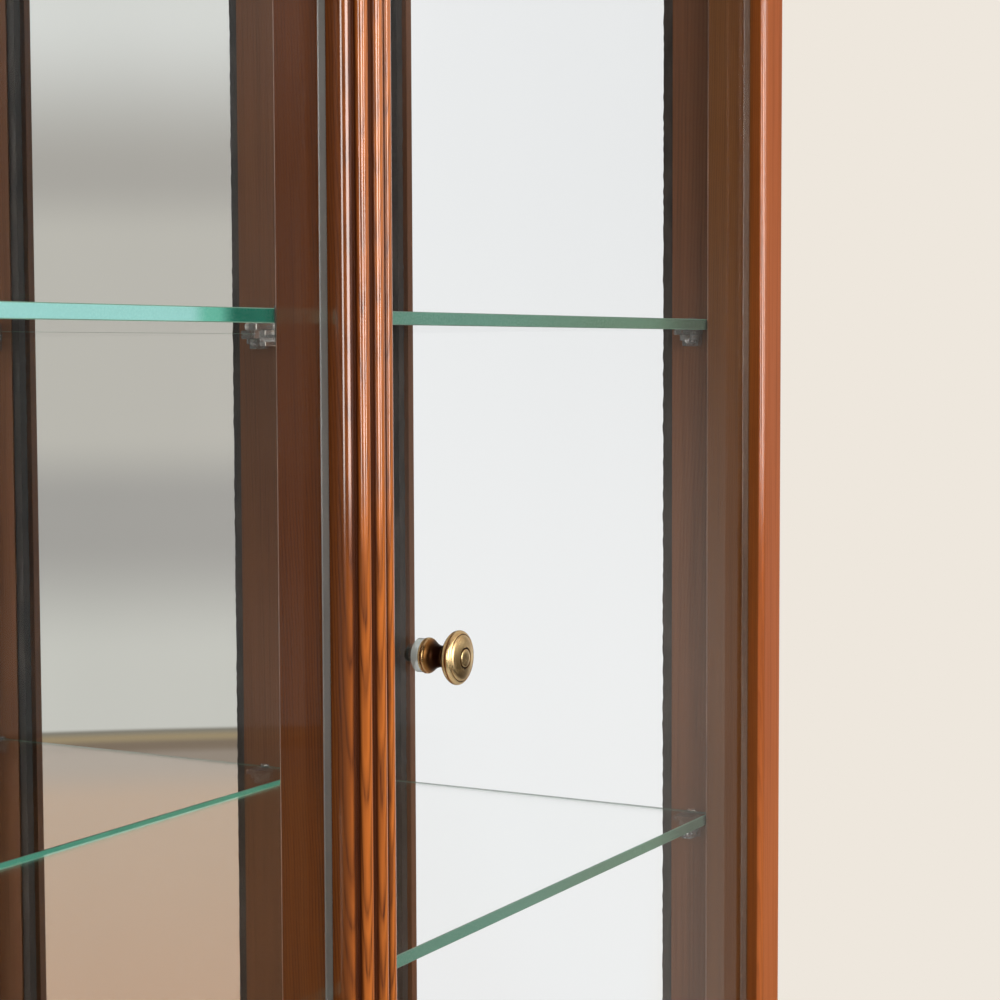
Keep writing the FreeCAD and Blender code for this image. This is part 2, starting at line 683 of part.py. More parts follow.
def door(side):
    free_x, hung_x = f"{side}_free_x", f"{side}_hung_x"
    glass = new_body(f"{side}_door_glass")
    pane = block(glass, (free_x, hung_x), ("pane_y", "pane_back_y"), ("pane_low_z", "pane_high_z"))
    ease(glass, pane, "glass_ease")
    hole(glass, "knob_hole", "y", "pane_y - overrun", "door_thick + 2 * overrun",
         (f"{free_x} + knob_inset", "knob_z"))
    knob(side, free_x)
    pivot_clamp(f"{side}_door_bottom_pivot", hung_x, upwards=False)
    pivot_clamp(f"{side}_door_top_pivot", hung_x, upwards=True)
    strike = new_body(f"{side}_door_strike")
    along = (f"{free_x} + strike_inset", f"{free_x} + strike_inset + strike_length")
    block(strike, along, ("pane_y - strike_thick", "pane_back_y + strike_thick"),
          ("pane_high_z - strike_rise", "pane_high_z + strike_thick"))
    slot(strike, along, ("pane_y", "pane_back_y"), ("pane_high_z - strike_rise", "pane_high_z"))


def pivot_bushes():
    bushes = []
    for side in ("left", "right"):
        x, y = val(f"{side}_hung_x") - val("pivot_inset"), val("pivot_y")
        for face, sense in ((val("floor_z"), 1), (val("ceiling_z"), -1)):
            up = Vector(0, 0, sense)
            sleeve = Part.makeCylinder(val("bush_radius"), val("pivot_depth"),
                                       Vector(x, y, face), up.negative())
            flange = Part.makeCylinder(val("flange_radius"), val("flange_thick"), Vector(x, y, face), up)
            bore = Part.makeCylinder(val("pivot_radius") + val("pivot_play"),
                                     val("pivot_depth") + val("flange_thick"),
                                     Vector(x, y, face + sense * val("flange_thick")), up.negative())
            bushes.append(sleeve.fuse(flange).cut(bore).removeSplitter())
    group("pivot_bushes", bushes)


def door_catches():
    catches = []
    for side in ("left", "right"):
        start_x = val(f"{side}_free_x") + val("strike_inset")
        start_y = val("pane_back_y") + val("strike_thick") + val("running_gap")
        catch = Part.makeBox(val("strike_length"), val("catch_depth"), val("catch_rise"),
                             Vector(start_x, start_y, val("ceiling_z") - val("catch_rise")))
        lower = [edge for edge in catch.Edges
                 if edge.BoundBox.ZMax < val("ceiling_z") - val("metal_ease")]
        catches.append(catch.makeChamfer(val("metal_ease"), lower))
    group("door_catches", catches)


def check_all():
    doc.recompute()
    for thing in doc.Objects:
        if {"Invalid", "Error"} & set(thing.State):
            raise RuntimeError(f"{thing.Name} is {thing.State}")
    for piece in SUBPARTS:
        if piece.Shape.isNull() or not piece.Shape.isValid() or not piece.Shape.Solids:
            raise RuntimeError(f"{piece.Label} has no valid shape")


plinth()
moulding("base_moulding", BASE_SHARES, "base_reach", "plinth_z", "floor_z")
boards()
front_stiles()
pilaster()
side_frames()
moulding("cornice", CORNICE_SHARES, "cornice_reach", "ceiling_z", "summit_z")
shelves()
shelf_supports()
for hung_side in ("left", "right"):
    door(hung_side)
pivot_bushes()
door_catches()
check_all()

os.makedirs("parts", exist_ok=True)
for subpart in SUBPARTS:
    subpart.Shape.exportStep(f"parts/{subpart.Label}.step")
print(len(SUBPARTS), "sub-parts written")
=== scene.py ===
import math
import random

import bmesh
import bpy
from mathutils import Matrix, Vector


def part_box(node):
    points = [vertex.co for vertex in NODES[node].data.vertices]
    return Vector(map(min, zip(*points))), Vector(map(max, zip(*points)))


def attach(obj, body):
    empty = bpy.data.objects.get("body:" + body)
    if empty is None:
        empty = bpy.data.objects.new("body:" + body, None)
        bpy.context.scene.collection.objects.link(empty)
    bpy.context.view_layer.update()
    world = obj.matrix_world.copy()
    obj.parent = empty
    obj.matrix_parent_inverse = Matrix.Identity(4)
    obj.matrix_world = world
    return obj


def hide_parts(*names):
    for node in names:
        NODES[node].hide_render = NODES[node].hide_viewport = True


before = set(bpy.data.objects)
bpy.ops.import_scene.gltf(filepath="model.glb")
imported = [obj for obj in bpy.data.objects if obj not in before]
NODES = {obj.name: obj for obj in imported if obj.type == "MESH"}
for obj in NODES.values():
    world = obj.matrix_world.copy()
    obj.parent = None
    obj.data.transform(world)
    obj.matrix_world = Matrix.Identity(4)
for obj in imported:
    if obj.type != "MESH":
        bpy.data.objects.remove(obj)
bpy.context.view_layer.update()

# A tall display cabinet: lacquered wood, glass doors, sides and shelves, and a mirror back.
# Metres, in the frame of the solids: X to the right, Y to the back, Z up.

MM = 0.001
SIDES = ("left", "right")
SHELVES = range(1, 5)
SHELF_THICK = 8 * MM
GLASS_FRONT_Y = -183.5 * MM


# The camera stands close in front, left of the middle, and looks right along the front

CAMERA_PLACE = (-1.0178, -0.8196, 1.2481)
CAMERA_AHEAD = (0.8648, 0.5020)
CAMERA_DIP = math.radians(3.748)
CAMERA_ROLL = math.radians(-0.319)
CAMERA_LENS = 80.74
CAMERA_SENSOR = 36.0
CAMERA_SHIFT = 0.07
CAMERA_CLIP = 0.05


def set_camera():
    camera = bpy.data.objects.new("camera", bpy.data.cameras.new("camera"))
    camera.data.lens = CAMERA_LENS
    camera.data.sensor_width = CAMERA_SENSOR
    camera.data.shift_x = CAMERA_SHIFT
    camera.data.clip_start = CAMERA_CLIP
    camera.data.dof.use_dof = False
    level, down = math.cos(CAMERA_DIP), math.sin(CAMERA_DIP)
    ahead = Vector((CAMERA_AHEAD[0] * level, CAMERA_AHEAD[1] * level, -down)).normalized()
    side = ahead.cross(Vector((0, 0, 1))).normalized()
    top = side.cross(ahead)
    right = math.cos(CAMERA_ROLL) * side + math.sin(CAMERA_ROLL) * top
    up = math.cos(CAMERA_ROLL) * top - math.sin(CAMERA_ROLL) * side
    camera.location = CAMERA_PLACE
    camera.rotation_euler = Matrix((right, up, -ahead)).transposed().to_euler()
    bpy.context.scene.collection.objects.link(camera)
    bpy.context.scene.camera = camera


# Finishes

class Finish:
    """A node tree with short ways to add to it."""

    def __init__(self, owner):
        owner.use_nodes = True
        self.owner = owner
        self.tree = owner.node_tree
        self.tree.nodes.clear()

    def add(self, kind, inputs=None, **settings):
        node = self.tree.nodes.new("ShaderNode" + kind)
        for setting, value in settings.items():
            setattr(node, setting, value)
        for socket, value in (inputs or {}).items():
            if isinstance(value, bpy.types.NodeSocket):
                self.tree.links.new(value, node.inputs[socket])
            else:
                node.inputs[socket].default_value = value
        return node

    def sum(self, operation, first, second=0.0, third=0.0):
        node = self.add("Math", {0: first, 1: second, 2: third}, operation=operation)
        return node.outputs[0]

    def times(self, first, *others):
        for other in others:
            first = self.sum("MULTIPLY", first, other)
        return first

    def place(self):
        return self.add("TexCoord").outputs["Object"]

    def split(self, vector):
        return self.add("SeparateXYZ", {0: vector}).outputs

    def cloud(self, vector, scale, detail, roughness=0.5, shift=(0.0, 0.0, 0.0)):
        """Soft noise that turns about scale times in a metre, given once or for each axis."""
        scale = scale if isinstance(scale, tuple) else (scale,) * 3
        place = self.add("VectorMath", {0: vector, 1: scale, 2: shift}, operation="MULTIPLY_ADD")
        return self.add("TexNoise", {"Vector": place.outputs[0], "Scale": 1.0, "Detail": detail,
                                     "Roughness": roughness}).outputs[0]

    def between(self, value, low, high, to_low=0.0, to_high=1.0):
        """Goes smoothly from to_low to to_high while the value goes from low to high."""
        inputs = {"Value": value, "From Min": low, "From Max": high,
                  "To Min": to_low, "To Max": to_high}
        return self.add("MapRange", inputs, interpolation_type="SMOOTHSTEP").outputs["Result"]

    def blend(self, share, first, second, way="MIX"):
        node = self.add("Mix", {0: share, 6: first, 7: second}, data_type="RGBA", blend_type=way)
        return node.outputs[2]

    def bands(self, value, colour, marks):
        """Turns a colour into each mark's own while the value passes from its start to its end."""
        for start, end, tone in marks:
            colour = self.blend(self.between(value, start, end), colour, tone)
        return colour

    def steps(self, value, *stops):
        """A grey ramp through (place, brightness) stops."""
        node = self.add("ValToRGB", {0: value})
        marks = node.color_ramp.elements
        marks.remove(marks[1])
        marks[0].position, marks[0].color = stops[0][0], (stops[0][1],) * 3 + (1.0,)
        for place, grey in stops[1:]:
            marks.new(place).color = (grey, grey, grey, 1.0)
        return node.outputs[0]

    def bump(self, height, distance, strength):
        inputs = {"Height": height, "Distance": distance, "Strength": strength}
        return self.add("Bump", inputs).outputs[0]

    def body(self, inputs):
        return self.add("BsdfPrincipled", inputs).outputs[0]

    def clear(self, tint):
        return self.add("BsdfTransparent", {"Color": tint}).outputs[0]

    def mixed(self, share, first, second):
        return self.add("MixShader", {0: share, 1: first, 2: second}).outputs[0]

    def surface(self, shader):
        kind = "OutputWorld" if isinstance(self.owner, bpy.types.World) else "OutputMaterial"
        self.add(kind, {"Surface": shader})
        return self.owner


def new_finish(name):
    return Finish(bpy.data.materials.new(name))


def rgb(red, green, blue):
    """Linear colour from the 0 to 255 numbers of a screen colour."""
    def linear(level):
        level /= 255
        return level / 12.92 if level <= 0.04045 else ((level + 0.055) / 1.055) ** 2.4
    return (linear(red), linear(green), linear(blue), 1.0)


# The crests of the pilaster's reeds lie on a sweep about an upright axis. Dark stain and painted
# shade lie in the grooves between them and in the two outer grooves, and painted shade lies down the
# pilaster's sides.
POST_HALF = 25.0 * MM
SWEEP_MIDDLE_Y = -161.3 * MM
GROOVE_DARK = 36.4 * MM
GROOVE_CLEAR = 38.6 * MM
OUTER_GROOVE = (16.5 * MM, 22.2 * MM)
GROOVE_STAIN_AND_SHADE = rgb(50, 20, 8)
PAINTED_SIDE_SHADE = rgb(66, 32, 12)


def groove_stain_and_shade_mask(f, x, y):
    """Near 1 in the grooves and 0 on the crests: where the dark stain and the painted shade go."""
    out = f.sum("SUBTRACT", y, SWEEP_MIDDLE_Y)
    across = f.sum("ABSOLUTE", x)
    reach = f.sum("SQRT", f.sum("ADD", f.times(x, x), f.times(out, out)))
    start, end = OUTER_GROOVE
    inner = f.times(f.between(reach, GROOVE_DARK, GROOVE_CLEAR, 0.94, 0.0),
                    f.between(across, start, start + 0.8 * MM, 1.0, 0.0))
    outer = f.times(f.between(across, start - 0.8 * MM, start, 0.0, 0.92),
                    f.between(across, end - 1.2 * MM, end, 1.0, 0.0))
    front = f.between(y, GLASS_FRONT_Y - 4 * MM, GLASS_FRONT_Y - 1 * MM, 1.0, 0.0)
    return f.times(f.sum("MAXIMUM", inner, outer), front)


# Stained and lacquered wood. The rings are thin layers, leaning a little to the fibres, so that
# they show as stripes on flat boards and as pointed tongues on the reeds.

WARM_TONES = (rgb(202, 112, 52), rgb(178, 92, 42), rgb(96, 44, 20))
REED_TONES = (rgb(206, 114, 42), rgb(168, 86, 30), rgb(84, 38, 14))
# The stiles' sides take a darker copy of the warm wood: painted shade.
SHADED_SIDE_TONES = (rgb(150, 80, 30), rgb(128, 66, 24), rgb(76, 38, 14))
INNER_TONES = (rgb(124, 80, 54), rgb(110, 70, 47), rgb(68, 43, 30))
# A painted veil for wood behind the door glass, standing for the glass's reflection over it.
PAINTED_PANE_VEIL = (0.76, 1.08, 1.75, 1.0)
RING_GAP = 1.7 * MM
SOFT_RINGS = ((0.0, 0.15), (0.35, 0.0), (0.72, 0.55), (0.90, 1.0), (1.0, 0.15))
BOLD_RINGS = ((0.0, 0.62), (0.20, 0.24), (0.46, 0.0), (0.72, 0.22), (0.90, 0.80), (1.0, 0.62))

# How often the parts of the figure turn in a metre, twice across the fibres and then along them
SWAY = (5.0, 5.0, 1.6)
WANDER = (48.0, 48.0, 13.0)
PORES = (950.0, 950.0, 30.0)
FIBRES = (330.0, 330.0, 5.0)
VIGOUR = (14.0, 14.0, 1.1)
DRIFT = (9.0, 9.0, 1.2)
SEED_STEPS = (3.7, 5.3, 7.1)


def wood(name, grain, seed, tones=WARM_TONES, layers=(0.55, 0.85), lean=0.02, ring=RING_GAP,
         figure=0.75, rings=SOFT_RINGS, sway_reach=24 * MM, wander_reach=2.6 * MM, gloss=0.5,
         coat_index=1.5, grooves=False, painted_pane_veil=None):
    """grain is the axis of the fibres and layers is how the rings stand on the other two axes; the
    last argument gives a painted veil to what stands further back than the front of the doors: a
    bluer, darker tint standing for the door glass's reflection over it."""
    f = new_finish(name)
    x, y, z = f.split(f.place())
    across, depth, along = {"x": (y, z, x), "y": (x, z, y), "z": (x, y, z)}[grain]
    log = f.add("CombineXYZ", {0: across, 1: depth, 2: along}).outputs[0]
    shift = tuple(seed * step for step in SEED_STEPS)
    sway = f.cloud(log, SWAY, 1.0, shift=shift)
    wander = f.cloud(log, WANDER, 2.0, shift=shift)
    layer = f.times(across, layers[0])
    for value, reach in ((depth, layers[1]), (along, lean), (sway, sway_reach),
                         (wander, wander_reach)):
        layer = f.sum("MULTIPLY_ADD", value, reach, layer)
    late = f.steps(f.sum("FRACT", f.sum("DIVIDE", layer, ring)), *rings)
    pores = f.between(f.cloud(log, PORES, 1.0, shift=shift), 0.40, 0.62)
    fibres = f.cloud(log, FIBRES, 3.0, 0.6, shift)
    vigour = f.between(f.cloud(log, VIGOUR, 1.0, shift=shift), 0.30, 0.70, 0.55, 1.0)
    drift = f.between(f.cloud(log, DRIFT, 2.0, shift=shift), 0.35, 0.65)
    shade = f.times(late, vigour, figure, f.sum("MULTIPLY_ADD", pores, 0.40, 0.70))
    shade = f.sum("ADD", shade, f.between(fibres, 0.40, 0.75, 0.0, 0.30))
    colour = f.blend(drift, tones[0], tones[1])
    colour = f.blend(shade, colour, tones[2])
    coat = gloss
    if grooves:
        # Dark stain and painted shade in the grooves; the coat is thinner there.
        deep = groove_stain_and_shade_mask(f, x, y)
        colour = f.blend(deep, colour, GROOVE_STAIN_AND_SHADE)
        # Painted shade down the pilaster's sides.
        sides = f.between(f.sum("ABSOLUTE", x), POST_HALF - 4.5 * MM, POST_HALF - 0.3 * MM,
                          0.0, 0.72)
        colour = f.blend(sides, colour, PAINTED_SIDE_SHADE)
        coat = f.between(deep, 0.1, 0.7, gloss, 0.12)
    # Painted veil: wood behind the door glass turns bluer and darker, standing for the glass's
    # reflection.
    if painted_pane_veil:
        inside = f.between(y, GLASS_FRONT_Y - 1 * MM, GLASS_FRONT_Y + 1 * MM)
        colour = f.blend(inside, colour, painted_pane_veil, "MULTIPLY")
    height = f.sum("MULTIPLY_ADD", pores, -0.35, f.times(fibres, 0.5))
    return f.surface(f.body({
        "Base Color": colour, "Roughness": f.between(fibres, 0.2, 0.8, 0.36, 0.52),
        "Specular IOR Level": 0.12, "Coat Weight": coat, "Coat Roughness": 0.08,
        "Coat IOR": coat_index, "Normal": f.bump(height, 0.06 * MM, 0.25),
    }))


def raw_wood():
    """Bare arrises that the stain has left light."""
    f = new_finish("raw_arris")
    log = f.place()
    streak = f.cloud(log, (700.0, 700.0, 9.0), 3.0)
    patch = f.cloud(log, (40.0, 40.0, 12.0), 2.0)
    colour = f.blend(f.between(streak, 0.3, 0.7), rgb(176, 132, 104), rgb(146, 100, 74))
    colour = f.blend(f.between(patch, 0.45, 0.75), colour, rgb(112, 66, 42))
    return f.surface(f.body({
        "Base Color": colour, "Roughness": f.between(streak, 0.2, 0.8, 0.4, 0.6),
        "Coat Weight": 0.2, "Coat Roughness": 0.2,
    }))


def fibre_board():
    f = new_finish("back_board_fibre")
    log = f.place()
    fleck = f.cloud(log, 420.0, 4.0, 0.7)
    cloudy = f.cloud(log, 9.0, 3.0)
    colour = f.blend(f.between(fleck, 0.35, 0.65), rgb(104, 72, 50), rgb(142, 106, 76))
    colour = f.blend(f.between(cloudy, 0.3, 0.7, 0.0, 0.4), colour, rgb(92, 62, 44))
    return f.surface(f.body({
        "Base Color": colour, "Roughness": f.between(fleck, 0.2, 0.8, 0.6, 0.8),
        "Normal": f.bump(fleck, 0.15 * MM, 0.5),
    }))


# Glass, mirror and clear plastic

CLEAR_GLASS = (0.994, 0.996, 0.995, 1.0)
SHELF_SHADE = (0.93, 0.96, 0.95, 1.0)
CLIP_SHADE = (0.92, 0.92, 0.91, 1.0)
WASHER_SHADE = (0.90, 0.92, 0.91, 1.0)
WIPED = (7.0, 7.0, 3.0)
MOULD_FLOW = 160.0
FINE_SPECKS = 900.0


def bending(f, solid, tint):
    """A clear body bends the view, but lets the light of the lamps straight through."""
    clear = f.clear(tint)
    return f.surface(f.mixed(f.add("LightPath").outputs["Is Shadow Ray"], solid, clear))


def pane_face(name, head_on=0.008, slope=0.35):
    """A pane lets the view straight through and mirrors it a little, more so from edge on."""
    f = new_finish(name)
    wiped = f.cloud(f.place(), WIPED, 3.0)
    sheen = f.body({
        "Base Color": f.blend(wiped, (0.93, 0.96, 0.95, 1.0), (0.98, 0.99, 0.985, 1.0)),
        "Metallic": 1.0, "Roughness": f.between(wiped, 0.35, 0.75, 0.0, 0.003),
    })
    facing = f.add("LayerWeight", {"Blend": 0.5}).outputs["Facing"]
    share = f.sum("MULTIPLY_ADD", f.sum("POWER", facing, 5.0), slope, head_on)
    share = f.sum("MULTIPLY_ADD", f.between(wiped, 0.5, 0.8), 0.003, share)
    return f.surface(f.mixed(share, f.clear(CLEAR_GLASS), sheen))


def shelf_face():
    """The broad faces of a shelf bend the view, so that its rear edge shrinks to a thin line."""
    f = new_finish("shelf_glass_face")
    wiped = f.cloud(f.place(), WIPED, 3.0)
    solid = f.body({
        "Base Color": f.blend(wiped, (0.988, 0.995, 0.992, 1.0), (0.993, 0.998, 0.996, 1.0)),
        "Roughness": f.between(wiped, 0.35, 0.75, 0.0, 0.003),
        "IOR": 1.5, "Transmission Weight": 1.0,
    })
    return bending(f, solid, SHELF_SHADE)


def pane_edge(name, tint, light, dark, share, scale, rough):
    """A polished edge: partly clear and tinted, with its own colour drifting along it."""
    f = new_finish(name)
    where = f.place()
    drift = f.between(f.cloud(where, scale, 2.0), 0.35, 0.7)
    fine = f.cloud(where, FINE_SPECKS, 2.0)
    solid = f.body({
        "Base Color": f.blend(drift, light, dark),
        "Roughness": f.between(fine, 0.2, 0.8, rough, rough + 0.12),
        "Specular IOR Level": 0.3, "Coat Weight": 0.2, "Coat Roughness": 0.05,
    })
    return f.surface(f.mixed(f.sum("MULTIPLY_ADD", drift, 0.12, share), f.clear(tint), solid))


# Tones along a shelf's edge, from left to right: where each starts and is full, and its colour. The
# green is the glass's own. The pale aqua at the left, the dark teal by the pilaster and the changes
# between them are painted light and painted reflection, standing for what the glass carries along
# inside it.
PAINTED_EDGE_AQUA = rgb(158, 216, 213)
PAINTED_EDGE_RUN = (
    (-98 * MM, -82 * MM, rgb(104, 186, 166)), (-76 * MM, -57 * MM, rgb(0, 92, 78)),
    (-50 * MM, -30 * MM, rgb(16, 102, 86)), (-10 * MM, 120 * MM, rgb(105, 152, 135)),
    (180 * MM, 400 * MM, rgb(110, 142, 121)), (450 * MM, 530 * MM, rgb(88, 106, 92)),
)
# A painted glow on the rear edges, standing for light carried along inside the glass.
PAINTED_EDGE_GLOW = rgb(70, 196, 164)
EDGE_DRIFT = 16 * MM


def shelf_edge(name, tint, share, glow):
    """A shelf's edge is green glass with painted light and painted reflection along it: aqua left of
    the pilaster, a dense teal beside it and then bottle green. The last argument gives a painted
    glow, standing for the light that has run along inside the glass and comes out there."""
    f = new_finish(name)
    where = f.place()
    drift = f.cloud(where, (7.0, 7.0, 2.0), 2.0)
    fine = f.cloud(where, FINE_SPECKS, 2.0)
    spot = f.sum("MULTIPLY_ADD", f.sum("SUBTRACT", drift, 0.5), EDGE_DRIFT, f.split(where)[0])
    # Painted light and reflection along the edge, over the glass's own green.
    tone = f.bands(spot, PAINTED_EDGE_AQUA, PAINTED_EDGE_RUN)
    solid = f.body({
        "Base Color": tone, "Roughness": f.between(fine, 0.2, 0.8, 0.20, 0.34),
        "Specular IOR Level": 0.15, "Emission Color": f.blend(0.6, tone, PAINTED_EDGE_GLOW),
        "Emission Strength": glow,
    })
    return f.surface(f.mixed(f.sum("MULTIPLY_ADD", fine, 0.06, share), f.clear(tint), solid))


def mirror_face():
    f = new_finish("silvered_face")
    haze = f.cloud(f.place(), (5.0, 5.0, 2.2), 3.0)
    return f.surface(f.body({
        "Base Color": f.blend(haze, (0.80, 0.82, 0.81, 1.0), (0.86, 0.875, 0.87, 1.0)),
        "Metallic": 1.0, "Roughness": f.between(haze, 0.3, 0.7, 0.0, 0.003),
    }))


def mirror_back():
    f = new_finish("mirror_back_paint")
    grain = f.cloud(f.place(), 200.0, 3.0)
    return f.surface(f.body({
        "Base Color": f.blend(grain, rgb(70, 84, 78), rgb(96, 108, 100)),
        "Roughness": f.between(grain, 0.2, 0.8, 0.3, 0.5),
    }))


def clear_plastic(name, clearness):
    """Clear moulded plastic, a little milky, so that it reads against dark wood and pale walls."""
    f = new_finish(name)
    flow = f.cloud(f.place(), MOULD_FLOW, 2.0)
    solid = f.body({
        "Base Color": f.blend(flow, rgb(206, 214, 210), rgb(178, 188, 182)),
        "Roughness": f.between(flow, 0.3, 0.7, 0.12, 0.22),
        "Coat Weight": 0.6, "Coat Roughness": 0.04,
    })
    share = f.sum("SUBTRACT", f.between(flow, 0.3, 0.7, 1.06, 0.94), clearness)
    return f.surface(f.mixed(share, f.clear(WASHER_SHADE), solid))


def glassy_plastic():
    """The shelf clips: clear, with a slight warm tint, bending what is behind them."""
    f = new_finish("clear_clip")
    flow = f.cloud(f.place(), MOULD_FLOW, 2.0)
    solid = f.body({
        "Base Color": f.blend(flow, (0.95, 0.94, 0.92, 1.0), (0.99, 0.985, 0.98, 1.0)),
        "Roughness": f.between(flow, 0.3, 0.7, 0.05, 0.14),
        "IOR": 1.26, "Transmission Weight": 0.93,
    })
    return bending(f, solid, CLIP_SHADE)


# Metal, rubber and dull plastic

def antique_brass():
    """Brass turned and rubbed bright on its high parts, with dark wax left in the low ones."""
    f = new_finish("antique_brass")
    where = f.place()
    dirt = f.add("Attribute", attribute_name="patina").outputs["Fac"]
    cloudy = f.cloud(where, 120.0, 2.0)
    fine = f.cloud(where, 1500.0, 2.0)
    dark = f.sum("ADD", dirt, f.between(cloudy, 0.25, 0.75, -0.05, 0.05))
    bright = f.blend(f.between(cloudy, 0.3, 0.7), rgb(224, 196, 146), rgb(212, 182, 130))
    colour = f.bands(dark, bright, ((0.15, 0.55, rgb(150, 104, 56)), (0.50, 0.92, rgb(52, 30, 16))))
    worn = f.between(fine, 0.2, 0.8, 0.22, 0.27)
    rough = f.sum("ADD", worn, f.between(dark, 0.3, 0.9, 0.0, 0.12))
    lathe = f.add("Tangent", direction_type="RADIAL", axis="Y").outputs[0]
    return f.surface(f.body({
        "Base Color": colour, "Metallic": 1.0, "Roughness": rough,
        "Anisotropic": 0.8, "Tangent": lathe,
    }))


def plain_metal(name, light, dark, rough):
    f = new_finish(name)
    where = f.place()
    cloudy = f.cloud(where, 240.0, 3.0)
    fine = f.cloud(where, (2200.0, 2200.0, 300.0), 2.0)
    return f.surface(f.body({
        "Base Color": f.blend(f.between(cloudy, 0.3, 0.7), light, dark), "Metallic": 1.0,
        "Roughness": f.between(fine, 0.2, 0.8, rough, rough + 0.14),
    }))


def moulded(name, light, dark, rough):
    """Rubber or dull plastic."""
    f = new_finish(name)
    where = f.place()
    cloudy = f.cloud(where, (70.0, 70.0, 22.0), 3.0)
    fine = f.cloud(where, FINE_SPECKS, 2.0)
    return f.surface(f.body({
        "Base Color": f.blend(f.between(cloudy, 0.35, 0.75), dark, light),
        "Roughness": f.between(fine, 0.2, 0.8, rough, rough + 0.2),
        "Normal": f.bump(fine, 0.1 * MM, 0.4),
    }))


# Dressing the solids. A face looks along an axis where its normal's share on it is over FLAT_ON.

FLAT_ON = 0.9
GROUND_TURN = 0.3
CHAMFER_TURN = (0.6, 0.8)
SIDE_TURN, ROUND_TURN = 0.985, 0.05


def dress(node, *finishes, pick=None):
    """Gives a CAD node its finishes; pick says which of them a face takes."""
    mesh = NODES[node].data
    mesh.materials.clear()
    for finish in finishes:
        mesh.materials.append(finish)
    for face in mesh.polygons:
        face.material_index = pick(face) if pick else 0


def pane_pick(axis):
    """0 for the broad faces, 1 for the edges and 2 for the ground arrises between them."""
    def pick(face):
        turn = abs(face.normal[axis])
        return 0 if turn > FLAT_ON else 2 if turn > GROUND_TURN else 1
    return pick


def raw_pick(face):
    """1 for the bare arrises at the back of a post."""
    low, high = CHAMFER_TURN
    return 1 if low < abs(face.normal.x) < high and low < face.normal.y < high else 0


def post_pick(face):
    """0 for the front and rear, 1 for the bare rear arrises, 2 for the sides, 3 for the rounding."""
    if raw_pick(face):
        return 1
    turn = abs(face.normal.x)
    return 2 if turn > SIDE_TURN else 3 if turn > ROUND_TURN else 0


def outer_pick(side):
    """1 for the faces that look out of the cabinet at that side."""
    outward = -1 if side == "left" else 1
    return lambda face: 1 if face.normal.x * outward > FLAT_ON else 0


# How the grain runs in each kind of piece
REED_GRAIN = {
    "tones": REED_TONES, "layers": (-0.69, -0.72), "lean": 0.032, "ring": 1.45 * MM,
    "figure": 0.92, "rings": BOLD_RINGS, "sway_reach": 16 * MM, "wander_reach": 3.2 * MM,
}
STILE_GRAIN = {"layers": (1.0, 0.35), "lean": 0.012, "figure": 0.40}
FLANK_GRAIN = {"layers": (0.35, 1.0), "lean": 0.012, "figure": 0.40, "tones": SHADED_SIDE_TONES}
FRAME_GRAIN = {"layers": (0.9, 0.6), "lean": 0.01}
RAIL_GRAIN = {"layers": (0.4, 0.9), "lean": 0.015}
MOULDING, PLINTH, BOARD = (0.7, 0.7), (0.9, 0.5), (0.3, 1.0)
FRONT_PIECES = {
    "cornice_front": MOULDING, "base_moulding_front": MOULDING, "plinth_front": PLINTH,
    "plinth_back": PLINTH, "top_front_rail": PLINTH, "floor_board": BOARD, "top_board": BOARD,
    "cover_board": BOARD,
}


def dress_pilaster(raw):
    reeds = wood("pilaster_wood", "z", 2.0, gloss=1.0, coat_index=1.7, grooves=True, **REED_GRAIN)
    inner_side = wood("pilaster_side_wood", "z", 3.0, tones=INNER_TONES, layers=(0.4, 0.9),
                      lean=0.01, figure=0.5, gloss=0.15)
    dress("centre_pilaster", reeds, raw, inner_side,
          pick=lambda face: 2 if face.normal.y > FLAT_ON else raw_pick(face))


def dress_framed(node, name, grain, seed, side, figure, run):
    """A piece of a framed side: dull and brown within the case, warm and glossy outside."""
    inner = wood(f"{name}_wood", grain, seed, tones=INNER_TONES, figure=figure, gloss=0.1, **run)
    outer = wood(f"{name}_outer_wood", grain, seed, figure=0.4, **run)
    dress(node, inner, outer, pick=outer_pick(side))


def dress_side(side, seed, raw):
    front = wood(f"{side}_stile_wood", "z", 4.0 + seed, gloss=0.22, **STILE_GRAIN)
    round_edge = wood(f"{side}_stile_arris_wood", "z", 4.0 + seed, gloss=1.0, coat_index=1.7,
                      **STILE_GRAIN)
    flank = wood(f"{side}_stile_side_wood", "z", 6.0 + seed, gloss=0.1, painted_pane_veil=PAINTED_PANE_VEIL,
                 **FLANK_GRAIN)
    dress(f"{side}_front_stile", front, raw, flank, round_edge, pick=post_pick)
    for number, part in enumerate(("front", "rear")):
        dress_framed(f"{side}_side_{part}_stile", f"{side}_{part}_frame", "z",
                     8.0 + seed + 2 * number, side, 0.3, FRAME_GRAIN)
    for number, part in enumerate(("bottom", "top")):
        dress_framed(f"{side}_side_{part}_rail", f"{side}_{part}_rail", "y",
                     14.0 + seed + 2 * number, side, 0.6, RAIL_GRAIN)
    for number, part in enumerate(("cornice", "base_moulding")):
        dress(f"{part}_{side}",
              wood(f"{side}_{part}_wood", "y", 20.0 + seed + 2 * number, layers=MOULDING))
    dress(f"plinth_{side}", wood(f"{side}_plinth_wood", "y", 26.0 + seed, layers=(0.9, 0.4)))


def dress_wood():
    raw = raw_wood()
    dress_pilaster(raw)
    for seed, side in enumerate(SIDES, start=1):
        dress_side(side, seed, raw)
    for seed, (node, layers) in enumerate(FRONT_PIECES.items(), start=30):
        dress(node, wood(f"{node}_wood", "x", float(seed), layers=layers))
    dress("plinth_cross_rail", wood("cross_rail_wood", "y", 40.0))
    dress("back_board", fibre_board())


